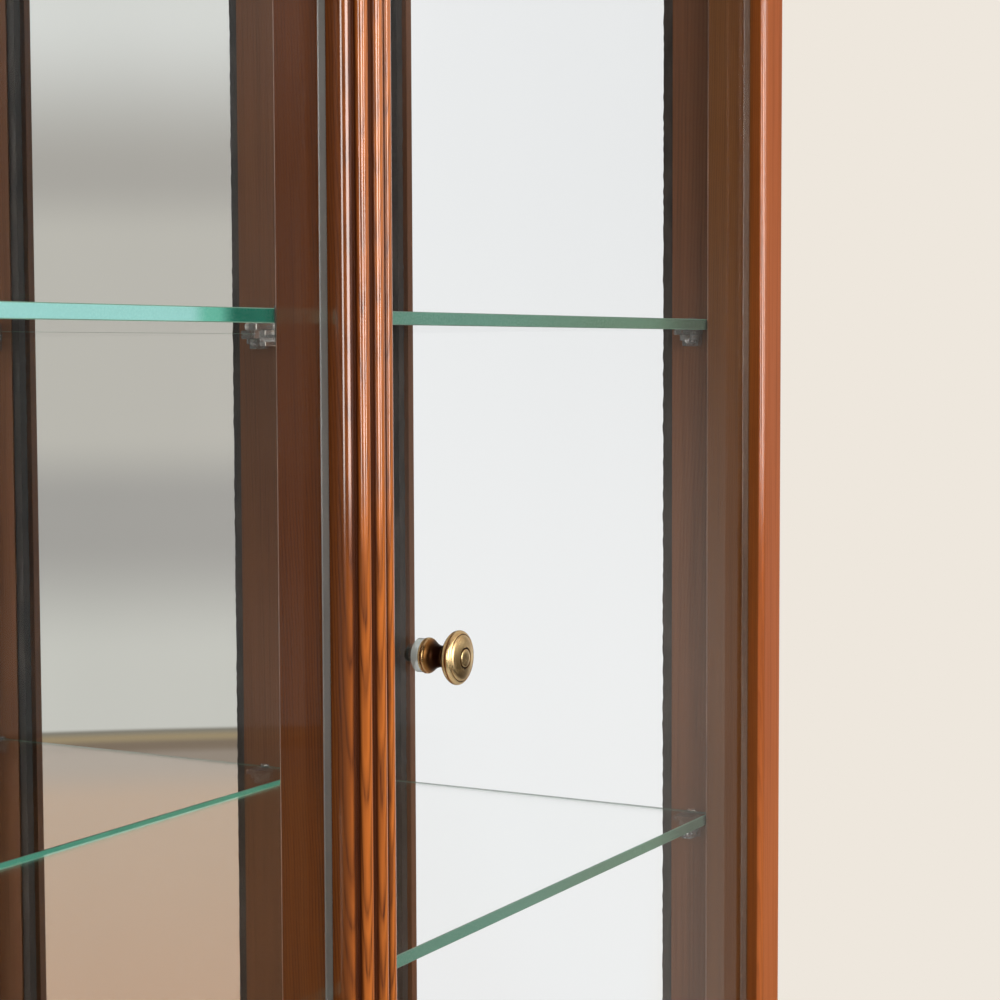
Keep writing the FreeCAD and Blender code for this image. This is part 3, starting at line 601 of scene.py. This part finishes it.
def dress_glass():
    arris = pane_edge("ground_arris", (0.44, 0.62, 0.54, 1.0), rgb(150, 186, 168),
                      rgb(126, 156, 140), 0.62, 30.0, 0.3)
    broad = shelf_face()
    edge = shelf_edge("shelf_glass_edge", (0.30, 0.70, 0.58, 1.0), 0.84, 0.0)
    # The rear edge takes the painted glow.
    rear_edge = shelf_edge("shelf_glass_rear_edge", (0.56, 0.96, 0.86, 1.0), 0.80, 0.6)
    around = pane_pick(2)
    for number in SHELVES:
        dress(f"shelf_{number}", broad, edge, arris, rear_edge,
              pick=lambda face: 3 if face.normal.y > FLAT_ON else around(face))
    # The left door's glass edge is a painted lit copy. The right door's edge and the side panes'
    # edges are a painted shaded copy of the same edge, dimmer and warmer.
    painted_lit_edge = pane_edge("door_glass_edge", (0.50, 0.56, 0.52, 1.0), rgb(150, 150, 146),
                            rgb(176, 176, 172), 0.45, (9.0, 9.0, 3.0), 0.16)
    painted_shaded_edge = pane_edge("dim_glass_edge", (0.80, 0.72, 0.62, 1.0), rgb(176, 160, 148),
                         rgb(140, 122, 110), 0.34, (9.0, 9.0, 3.0), 0.16)
    door_face = pane_face("door_glass_face")
    side_face = pane_face("side_glass_face", head_on=0.002, slope=0.3)
    for side in SIDES:
        rim = painted_lit_edge if side == "left" else painted_shaded_edge
        dress(f"{side}_door_glass", door_face, rim, rim, pick=pane_pick(1))
        dress(f"{side}_side_glass", side_face, painted_shaded_edge, arris, pick=pane_pick(0))
    dress("mirror", mirror_face(), mirror_back(),
          pick=lambda face: 0 if face.normal.y < -0.5 else 1)


def dress_fittings(brass, steel, dark_steel, washer, rear_washer, dark):
    for side in SIDES:
        dress(f"{side}_door_bottom_pivot", brass)
        dress(f"{side}_door_top_pivot", brass)
        dress(f"{side}_door_strike", steel)
        dress(f"{side}_knob_screw", dark_steel)
        dress(f"{side}_knob_washers", washer, rear_washer,
              pick=lambda face: 1 if face.center.y > GLASS_FRONT_Y + 2 * MM else 0)
    dress("pivot_bushes", brass)
    dress("door_catches", dark)
    dress("floor_glides", dark)


# New pieces

def finished(bm, name, finish, body, smooth=35.0):
    """Turns a bmesh into a piece that rides on a body."""
    bmesh.ops.recalc_face_normals(bm, faces=bm.faces[:])
    mesh = bpy.data.meshes.new(name)
    bm.to_mesh(mesh)
    bm.free()
    mesh.materials.append(finish)
    mesh.shade_smooth()
    mesh.set_sharp_from_angle(angle=math.radians(smooth))
    piece = bpy.data.objects.new(name, mesh)
    bpy.context.scene.collection.objects.link(piece)
    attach(piece, body)
    return piece


# The turned knob: share of its radius, share of its length, how dark it is left, and whether the
# line has a corner there
KNOB_LINE = (
    (0.560, 0.000, 0.6, True), (0.610, 0.006, 0.35, False), (0.650, 0.032, 0.15, False),
    (0.664, 0.070, 0.10, False), (0.654, 0.108, 0.25, False), (0.618, 0.145, 0.50, False),
    (0.560, 0.185, 0.72, False), (0.492, 0.235, 0.88, False), (0.438, 0.295, 0.97, False),
    (0.404, 0.360, 1.0, False), (0.390, 0.425, 1.0, False), (0.398, 0.470, 0.85, False),
    (0.430, 0.510, 0.45, False), (0.500, 0.545, 0.30, False), (0.620, 0.580, 0.30, False),
    (0.760, 0.622, 0.34, False), (0.880, 0.675, 0.26, False), (0.960, 0.730, 0.12, False),
    (0.996, 0.785, 0.0, False), (0.985, 0.830, 0.0, False), (0.930, 0.868, 0.02, False),
    (0.868, 0.890, 0.1, True), (0.852, 0.880, 1.0, False), (0.836, 0.896, 0.3, True),
    (0.760, 0.922, 0.0, False), (0.640, 0.948, 0.0, False), (0.500, 0.966, 0.03, False),
    (0.396, 0.974, 0.1, True), (0.380, 0.942, 1.0, True), (0.338, 0.942, 1.0, True),
    (0.322, 0.976, 0.1, True), (0.280, 0.988, 0.0, False), (0.180, 0.997, 0.0, False),
    (0.000, 1.000, 0.0, True),
)
KNOB_TURNS = 72
KNOB_DIVISIONS = 3


def smooth_line(marks, divisions):
    """Points on a curve through the marks, with corners kept where they are marked."""
    points = []
    for here in range(len(marks) - 1):
        start, end = marks[here], marks[here + 1]
        before = start if start[3] or here == 0 else marks[here - 1]
        after = end if end[3] or here + 2 == len(marks) else marks[here + 2]
        for step in range(divisions):
            t = step / divisions
            point = []
            for axis in range(3):
                a, b, c, d = before[axis], start[axis], end[axis], after[axis]
                point.append(b + 0.5 * t * (c - a + t * (2 * a - 5 * b + 4 * c - d
                                                         + t * (3 * (b - c) + d - a))))
            points.append(point)
    points.append(list(marks[-1][:3]))
    return points


def turned_knob(side, brass):
    node = f"{side}_door_knob"
    low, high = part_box(node)
    radius, length = (high.x - low.x) / 2, high.y - low.y
    middle = Vector(((low.x + high.x) / 2, 0, (low.z + high.z) / 2))
    line = smooth_line(KNOB_LINE, KNOB_DIVISIONS)
    bm = bmesh.new()
    corners = []
    for out, rise, _ in line:
        spot = (middle.x + min(out, 1.0) * radius, high.y - rise * length, middle.z)
        corners.append(bm.verts.new(spot))
    corners.append(bm.verts.new((middle.x, high.y, middle.z)))
    run = [bm.edges.new(pair) for pair in zip(corners[:-2], corners[1:-1])]
    run.append(bm.edges.new((corners[-1], corners[0])))
    bmesh.ops.spin(bm, geom=corners + run, cent=middle, axis=(0, 1, 0), angle=2 * math.pi,
                   steps=KNOB_TURNS, use_merge=True)
    bmesh.ops.remove_doubles(bm, verts=bm.verts[:], dist=0.002 * MM)
    patina = bm.verts.layers.float.new("patina")
    for corner in bm.verts:
        out = math.hypot(corner.co.x - middle.x, corner.co.z - middle.z) / radius
        rise = (high.y - corner.co.y) / length
        nearest = min(line, key=lambda point: abs(point[0] - out) + abs(point[1] - rise))
        corner[patina] = nearest[2]
    knob = finished(bm, f"{side}_turned_knob", brass, f"{side}_door")
    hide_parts(node)


# Clear shelf supports: a plate under the glass, a back plate on the wood with a nib over the
# glass, two ribs, and a squared boss for the screw. They reach along X from the wood; the
# underside of the glass lies at zero height.
PLATE_REACH, PLATE_WIDTH, PLATE_THICK = 20 * MM, 16 * MM, 3.6 * MM
BACK_THICK, BACK_MARGIN, BACK_BELOW = 1.2 * MM, 1 * MM, 4 * MM
NIB_REACH, NIB_HALF, NIB_RISE = 4.2 * MM, 3 * MM, 1.5 * MM
RIB_START, RIB_END, RIB_ACROSS, RIB_HALF = 0.5 * MM, PLATE_REACH - 4 * MM, 4.2 * MM, 0.6 * MM
BOSS_HALF, BOSS_START, BOSS_REACH, BOSS_DROP = 4.2 * MM, 0.4 * MM, 13 * MM, 8 * MM
PIN_RADIUS, PIN_IN, PIN_OUT = 2 * MM, 11.5 * MM, 0.3 * MM
HEAD_RADIUS, HEAD_RISE = 1.9 * MM, 1.0 * MM
SLOT_HALF, SLOT_DEEP, SLOT_FROM = 0.45 * MM, 0.5 * MM, 0.6 * MM


def box_piece(bm, low, high, ease, segments=2):
    """A block with all its edges rounded."""
    made = bmesh.ops.create_cube(bm, size=1.0)["verts"]
    low, high = Vector(low), Vector(high)
    bmesh.ops.scale(bm, vec=high - low, verts=made)
    bmesh.ops.translate(bm, vec=(low + high) / 2, verts=made)
    edges = list({edge for corner in made for edge in corner.link_edges})
    bmesh.ops.bevel(bm, geom=edges, offset=ease, offset_type="OFFSET", affect="EDGES",
                    segments=segments, profile=0.5, material=-1)


def round_piece(bm, radius, start, end, ease, turns):
    """A round bar along X with rounded rims."""
    made = bmesh.ops.create_cone(bm, cap_ends=True, segments=turns, radius1=radius,
                                 radius2=radius, depth=end - start)["verts"]
    turned = Matrix.Rotation(math.pi / 2, 3, "Y")
    bmesh.ops.rotate(bm, cent=(0, 0, 0), matrix=turned, verts=made)
    bmesh.ops.translate(bm, vec=((start + end) / 2, 0, 0), verts=made)
    caps = list({face for corner in made for face in corner.link_faces if len(face.verts) > 4})
    rims = list({edge for cap in caps for edge in cap.edges})
    bmesh.ops.bevel(bm, geom=rims, offset=ease, offset_type="OFFSET", affect="EDGES",
                    segments=2, profile=0.5, material=-1)


def moved_in(whole, part, place):
    """Puts a part's bmesh into the whole, at a place given as a matrix, and lets the part go."""
    bmesh.ops.transform(part, matrix=place, verts=part.verts[:])
    carrier = bpy.data.meshes.new("carrier")
    part.to_mesh(carrier)
    part.free()
    whole.from_mesh(carrier)
    bpy.data.meshes.remove(carrier)


def support_shape():
    bm = bmesh.new()
    half = PLATE_WIDTH / 2
    back = half - BACK_MARGIN
    box_piece(bm, (0, -half, -PLATE_THICK), (PLATE_REACH, half, 0), 0.9 * MM, 3)
    box_piece(bm, (0, -back, -BOSS_DROP - BACK_BELOW), (BACK_THICK, back, SHELF_THICK), 0.4 * MM)
    box_piece(bm, (0, -NIB_HALF, SHELF_THICK), (NIB_REACH, NIB_HALF, SHELF_THICK + NIB_RISE),
              0.5 * MM)
    for across in (-RIB_ACROSS, RIB_ACROSS):
        box_piece(bm, (RIB_START, across - RIB_HALF, -BOSS_DROP),
                  (RIB_END, across + RIB_HALF, -PLATE_THICK + 0.5 * MM), 0.25 * MM)
    boss = bmesh.new()
    box_piece(boss, (BOSS_START, -BOSS_HALF, -BOSS_HALF), (BOSS_REACH, BOSS_HALF, BOSS_HALF),
              0.8 * MM, 3)
    moved_in(bm, boss, Matrix.Translation((0, 0, -BOSS_DROP)))
    return bm


def screw_shape():
    """A pin with a domed, slotted head."""
    bm = bmesh.new()
    round_piece(bm, PIN_RADIUS, -PIN_IN, BOSS_REACH + PIN_OUT, 0.2 * MM, 20)
    made = bmesh.ops.create_uvsphere(bm, u_segments=28, v_segments=14,
                                     radius=HEAD_RADIUS)["verts"]
    bmesh.ops.scale(bm, vec=(HEAD_RISE / HEAD_RADIUS, 1, 1), verts=made)
    bmesh.ops.translate(bm, vec=(BOSS_REACH, 0, 0), verts=made)
    around = list({part for corner in made
                   for part in (corner, *corner.link_edges, *corner.link_faces)})
    cut = bmesh.ops.bisect_plane(bm, geom=around, plane_co=(BOSS_REACH, 0, 0),
                                 plane_no=(1, 0, 0), clear_inner=True)["geom_cut"]
    rim = [part for part in cut if isinstance(part, bmesh.types.BMEdge)]
    bmesh.ops.holes_fill(bm, edges=rim, sides=0)
    slotted = [corner for corner in bm.verts
               if corner.co.x > BOSS_REACH + SLOT_FROM and abs(corner.co.y) < SLOT_HALF]
    bmesh.ops.translate(bm, vec=(-SLOT_DEEP, 0, 0), verts=slotted)
    bmesh.ops.translate(bm, vec=(0, 0, -BOSS_DROP), verts=bm.verts[:])
    return bm


# Where the supports of each row stand: X, Y and their turn in degrees
SUPPORT_ROWS = {
    "left": ((-572 * MM, -131 * MM, 0), (-572 * MM, 164.5 * MM, 0)),
    "centre": ((-16 * MM, -148 * MM, 90), (16 * MM, -148 * MM, 90)),
    "right": ((572 * MM, -131 * MM, 180), (572 * MM, 164.5 * MM, 180)),
}


def repeated(shape, places):
    """One bmesh with the shape at every place, given as a matrix."""
    pattern = bpy.data.meshes.new("pattern")
    shape.to_mesh(pattern)
    shape.free()
    whole = bmesh.new()
    for place in places:
        copy = bmesh.new()
        copy.from_mesh(pattern)
        moved_in(whole, copy, place)
    bpy.data.meshes.remove(pattern)
    return whole


def shelf_fittings(plastic, steel):
    undersides = [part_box(f"shelf_{number}")[0].z for number in SHELVES]
    every_place = []
    for row, spots in SUPPORT_ROWS.items():
        places = []
        for level in undersides:
            for x, y, turn in spots:
                turned = Matrix.Rotation(math.radians(turn), 4, "Z")
                places.append(Matrix.Translation((x, y, level)) @ turned)
        every_place += places
        clips = finished(repeated(support_shape(), places), f"{row}_shelf_clips", plastic,
                         "cabinet")
        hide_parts(f"{row}_shelf_supports")
    screws = finished(repeated(screw_shape(), every_place), "shelf_clip_screws", steel, "cabinet")
    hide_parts("support_pins")


# The bead round the side glass is pressed in by hand, so its inner edge wanders a little
BEAD_PITCH = 4 * MM
BEAD_CELLS = 2
BEAD_WANDER = 0.55 * MM
BEAD_KEEPS = 0.55
BEAD_SEEDS = {"left": 7, "right": 11}
NEAR = 0.5 * MM


def glazing_bead(side, rubber):
    node = f"{side}_glazing_strip"
    low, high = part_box(node)
    deep, tall = high.y - low.y, high.z - low.z
    middle_y, middle_z = (low.y + high.y) / 2, (low.z + high.z) / 2
    cells_y, cells_z = round(deep / BEAD_PITCH), round(tall / BEAD_PITCH)
    bm = bmesh.new()
    bmesh.ops.create_grid(bm, x_segments=cells_y, y_segments=cells_z, size=0.5)
    bmesh.ops.scale(bm, vec=(deep, tall, 1), verts=bm.verts[:])
    bmesh.ops.rotate(bm, cent=(0, 0, 0), verts=bm.verts[:],
                     matrix=Matrix(((0, 0, 1), (1, 0, 0), (0, 1, 0))))
    bmesh.ops.translate(bm, vec=(low.x, middle_y, middle_z), verts=bm.verts[:])
    inner_y = deep / 2 - BEAD_CELLS * deep / cells_y
    inner_z = tall / 2 - BEAD_CELLS * tall / cells_z
    inside = []
    for face in bm.faces:
        spot = face.calc_center_median()
        if abs(spot.y - middle_y) < inner_y and abs(spot.z - middle_z) < inner_z:
            inside.append(face)
    bmesh.ops.delete(bm, geom=inside, context="FACES")
    play = random.Random(BEAD_SEEDS[side])
    drift = 0.0
    for corner in sorted(bm.verts, key=lambda spot: (round(spot.co.z, 4), round(spot.co.y, 4))):
        from_y, from_z = corner.co.y - middle_y, corner.co.z - middle_z
        on_y = abs(abs(from_y) - inner_y) < NEAR and abs(from_z) < inner_z + NEAR
        on_z = abs(abs(from_z) - inner_z) < NEAR and abs(from_y) < inner_y + NEAR
        if not (on_y or on_z):
            continue
        drift = BEAD_KEEPS * drift + play.uniform(-BEAD_WANDER, BEAD_WANDER)
        if on_y:
            corner.co.y -= math.copysign(drift, from_y)
        else:
            corner.co.z -= math.copysign(drift, from_z)
    grown = bmesh.ops.extrude_face_region(bm, geom=bm.faces[:])["geom"]
    bmesh.ops.translate(bm, vec=(high.x - low.x, 0, 0),
                        verts=[part for part in grown if isinstance(part, bmesh.types.BMVert)])
    bead = finished(bm, f"{side}_glazing_bead", rubber, "cabinet", 50.0)
    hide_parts(node)


# Small screws on the pivot clamps and the catches

CLAMP_SCREW_SPREAD = 8 * MM
CLAMP_BODY_RISE = 20 * MM
CATCH_MIDDLE = 13 * MM
CATCH_SCREW_SPREAD = 8 * MM
CATCH_SCREW_SET_IN = 6 * MM


def socket_screw(radius, rise):
    """A low round head with a six-sided socket, on its side, facing along X."""
    bm = bmesh.new()
    round_piece(bm, radius, -0.6 * MM, rise, 0.25 * MM, 24)
    crown = max(bm.faces, key=lambda face: face.calc_center_median().x)
    bmesh.ops.inset_region(bm, faces=[crown], thickness=radius * 0.42, depth=0)
    bmesh.ops.inset_region(bm, faces=[crown], thickness=0.08 * MM, depth=-0.5 * MM)
    return bm


def clamp_screws(side, steel):
    places = []
    for level in ("bottom", "top"):
        low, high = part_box(f"{side}_door_{level}_pivot")
        half = CLAMP_BODY_RISE / 2
        z = high.z - half if level == "bottom" else low.z + half
        for across in (-CLAMP_SCREW_SPREAD, CLAMP_SCREW_SPREAD):
            spot = Matrix.Translation(((low.x + high.x) / 2 + across, high.y, z))
            places.append(spot @ Matrix.Rotation(math.pi / 2, 4, "Z"))
    finished(repeated(socket_screw(2.6 * MM, 0.6 * MM), places), f"{side}_clamp_screws", steel,
             f"{side}_door")


def catch_screws(steel):
    low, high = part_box("door_catches")
    places = []
    for middle in (low.x + CATCH_MIDDLE, high.x - CATCH_MIDDLE):
        for across in (-CATCH_SCREW_SPREAD, CATCH_SCREW_SPREAD):
            spot = Matrix.Translation((middle + across, high.y - CATCH_SCREW_SET_IN, low.z))
            places.append(spot @ Matrix.Rotation(math.pi / 2, 4, "Y"))
    finished(repeated(socket_screw(2.4 * MM, 0.5 * MM), places), "catch_screws", steel, "cabinet")


# Studio

FLOOR_REACH = 2.4
FLOOR_FADE = (1.1, 2.2)


def pale_floor():
    bm = bmesh.new()
    bmesh.ops.create_circle(bm, cap_ends=True, segments=96, radius=FLOOR_REACH)
    mesh = bpy.data.meshes.new("floor")
    bm.to_mesh(mesh)
    bm.free()
    floor = bpy.data.objects.new("floor", mesh)
    bpy.context.scene.collection.objects.link(floor)
    f = new_finish("pale_floor")
    where = f.place()
    reach = f.add("VectorMath", {0: where}, operation="LENGTH").outputs["Value"]
    grain = f.cloud(where, 60.0, 3.0)
    matt = f.body({
        "Base Color": f.blend(grain, rgb(243, 242, 240), rgb(248, 247, 245)), "Roughness": 0.7,
    })
    clear = f.add("BsdfTransparent").outputs[0]
    mesh.materials.append(f.surface(f.mixed(f.between(reach, *FLOOR_FADE), matt, clear)))


# The room round the cabinet, by direction: x to the right, y to the back and z up, as parts of a
# whole of 1. Its tones from low to high: where each starts and is full, and its colour.
LAMP_LEVEL = 0.27
LAMP_TONE = (1.0, 0.985, 0.965)
LOW_WALL = rgb(219, 217, 210)
WALL_BANDS = (
    (-0.134, -0.080, rgb(176, 172, 168)), (-0.064, -0.034, rgb(205, 200, 192)),
    (0.050, 0.078, rgb(184, 179, 173)), (0.080, 0.150, rgb(240, 240, 237)),
    (0.155, 0.178, rgb(222, 207, 195)),
)
NEAR_BOARDS = rgb(200, 152, 114)
BOARDS_AND_SKIRTING = (
    (-0.30, -0.19, rgb(196, 156, 120)), (-0.196, -0.178, rgb(160, 146, 133)),
    (-0.176, -0.172, rgb(136, 120, 104)), (-0.171, -0.168, rgb(166, 148, 118)),
    (-0.168, -0.165, rgb(140, 134, 122)),
)
SOFT_SHADOWS = rgb(190, 184, 178)
DOORWAY_FOOT, DOORWAY_HEAD = rgb(246, 236, 226), rgb(92, 84, 76)
DARK_LEFT = rgb(74, 70, 66)
DIM_LOWER = rgb(88, 82, 76)

# Tall windows that lacquer and brass show as highlights: how far round they reach, as the tangent
# of the angle from the front, and how bright they are
WINDOWS = ((-2.84, -1.82, 8.5), (-0.75, -0.34, 8.5), (0.0, 0.167, 9.5))
WINDOW_SOFT = 0.02


def plain_wall(f, x, y):
    """The pale wall that the camera sees, a little warmer at the right."""
    warm = f.times(f.between(y, 0.405, 0.37), f.between(y, -0.25, 0.05), f.between(x, 0.3, 0.7))
    return f.blend(warm, rgb(240, 241, 242), rgb(238, 231, 221))


def room_with_windows(f, room, x, y, z, blurred):
    """Lacquer and brass, which blur what they mirror, alone show the windows."""
    across = f.sum("DIVIDE", x, f.sum("MAXIMUM", f.times(y, -1.0), 0.05))
    upper = f.times(f.between(z, -0.085, -0.045), f.between(z, 0.48, 0.42), blurred)
    for start, end, level in WINDOWS:
        soft = WINDOW_SOFT * (1 + start * start)
        band = f.times(f.between(across, start - soft, start + soft),
                       f.between(across, end + soft, end - soft), upper)
        room = f.blend(band, room, tuple(level * part for part in LAMP_TONE) + (1.0,))
    return room


def mirrored_room(f, way, wall, blurred):
    """What shines mirrors a pale room with a brown floor, a doorway and a window side."""
    x, y, z = f.split(way)
    soft = f.cloud(way, (3.0, 3.0, 1.6), 2.0)
    room = f.bands(z, LOW_WALL, WALL_BANDS)
    room = f.blend(f.between(soft, 0.35, 0.65, 0.0, 0.2), room, SOFT_SHADOWS)
    floor = f.bands(z, NEAR_BOARDS, BOARDS_AND_SKIRTING)
    room = f.blend(f.between(z, -0.1655, -0.1635), floor, room)
    doorway = f.blend(f.between(z, -0.16, 0.10), DOORWAY_FOOT, DOORWAY_HEAD)
    room = f.blend(f.between(x, 0.835, 0.865), room, doorway)
    room = f.blend(f.times(f.between(x, -0.05, -0.45), blurred), room, DARK_LEFT)
    room = f.blend(f.times(f.between(y, -0.31, -0.20), f.between(x, -0.1, 0.3)), room, wall)
    dim = f.times(f.between(x, 0.97, 0.90), f.between(z, 0.02, -0.07), blurred,
                  f.between(y, 0.0, -0.2))
    room = f.blend(dim, room, DIM_LOWER)
    return room_with_windows(f, room, x, y, z, blurred)


def pale_world():
    """The camera sees a plain pale wall all round, and what shines mirrors a room."""
    world = bpy.data.worlds.new("pale_room")
    bpy.context.scene.world = world
    f = Finish(world)
    way = f.add("TexCoord").outputs["Generated"]
    x, y, _ = f.split(way)
    path = f.add("LightPath").outputs
    blurred = f.sum("SUBTRACT", 1.0, path["Is Singular Ray"])
    wall = plain_wall(f, x, y)
    room = mirrored_room(f, way, wall, blurred)
    ahead = f.times(f.between(y, -0.2, -0.3), f.between(x, 0.2, 0.4))
    bent = f.times(path["Is Transmission Ray"], ahead)
    shown = f.blend(f.sum("MAXIMUM", path["Is Glossy Ray"], bent), wall, room)
    seen = f.sum("MAXIMUM", path["Is Camera Ray"], path["Is Glossy Ray"])
    seen = f.sum("MAXIMUM", seen, path["Is Transmission Ray"])
    lamp = f.add("Background", {"Color": (*LAMP_TONE, 1.0), "Strength": LAMP_LEVEL}).outputs[0]
    view = f.add("Background", {"Color": shown, "Strength": 1.0}).outputs[0]
    f.surface(f.mixed(seen, lamp, view))


# Lamps: place, what they point at, width, height and power
DOORS = (0.0, -0.19, 1.95)
LAMPS = {
    "front_window": ((-1.45, -2.95, 1.95), DOORS, 1.0, 2.0, 46.0),
    "near_window": ((0.25, -3.20, 1.95), DOORS, 0.5, 2.0, 22.0),
    "left_window": ((-2.75, -1.42, 1.95), DOORS, 0.5, 2.0, 19.0),
    "right_fill": ((2.6, -2.6, 1.5), (0.2, 0.0, 1.1), 1.6, 2.2, 14.0),
    "ceiling_light": ((-0.4, -0.3, 3.9), (0.0, 0.0, 1.0), 2.4, 1.8, 22.0),
    "rear_light": ((-2.0, 2.4, 3.2), (0.0, 0.2, 1.0), 1.6, 1.6, 22.0),
}


def set_lamps():
    """Softboxes that light the cabinet without being seen or mirrored themselves."""
    for name, (place, target, width, height, power) in LAMPS.items():
        lamp = bpy.data.lights.new(name, "AREA")
        lamp.shape = "RECTANGLE"
        lamp.size, lamp.size_y = width, height
        lamp.energy = power
        lamp.color = LAMP_TONE
        box = bpy.data.objects.new(name, lamp)
        box.location = place
        turned = (Vector(target) - Vector(place)).to_track_quat("-Z", "Y")
        box.rotation_euler = turned.to_euler()
        box.visible_camera = False
        box.visible_glossy = False
        box.visible_transmission = False
        bpy.context.scene.collection.objects.link(box)


set_camera()
pale_world()
pale_floor()
set_lamps()

brass = antique_brass()
steel = plain_metal("bright_steel", rgb(206, 208, 210), rgb(178, 180, 184), 0.18)
dark_steel = plain_metal("blackened_steel", rgb(84, 74, 66), rgb(60, 52, 46), 0.34)
plastic = glassy_plastic()
washer = clear_plastic("clear_washer", 0.40)
rear_washer = clear_plastic("clear_rear_washer", 0.97)
rubber = moulded("dark_bead", rgb(58, 50, 46), rgb(30, 26, 24), 0.6)
dark_plastic = moulded("dark_plastic", rgb(62, 52, 46), rgb(40, 34, 30), 0.42)

dress_wood()
dress_glass()
dress_fittings(brass, steel, dark_steel, washer, rear_washer, dark_plastic)
shelf_fittings(plastic, steel)
for door_side in SIDES:
    turned_knob(door_side, brass)
    clamp_screws(door_side, steel)
    glazing_bead(door_side, rubber)
catch_screws(steel)

scene = bpy.context.scene
scene.view_settings.view_transform = "Standard"
scene.cycles.transparent_max_bounces = 48
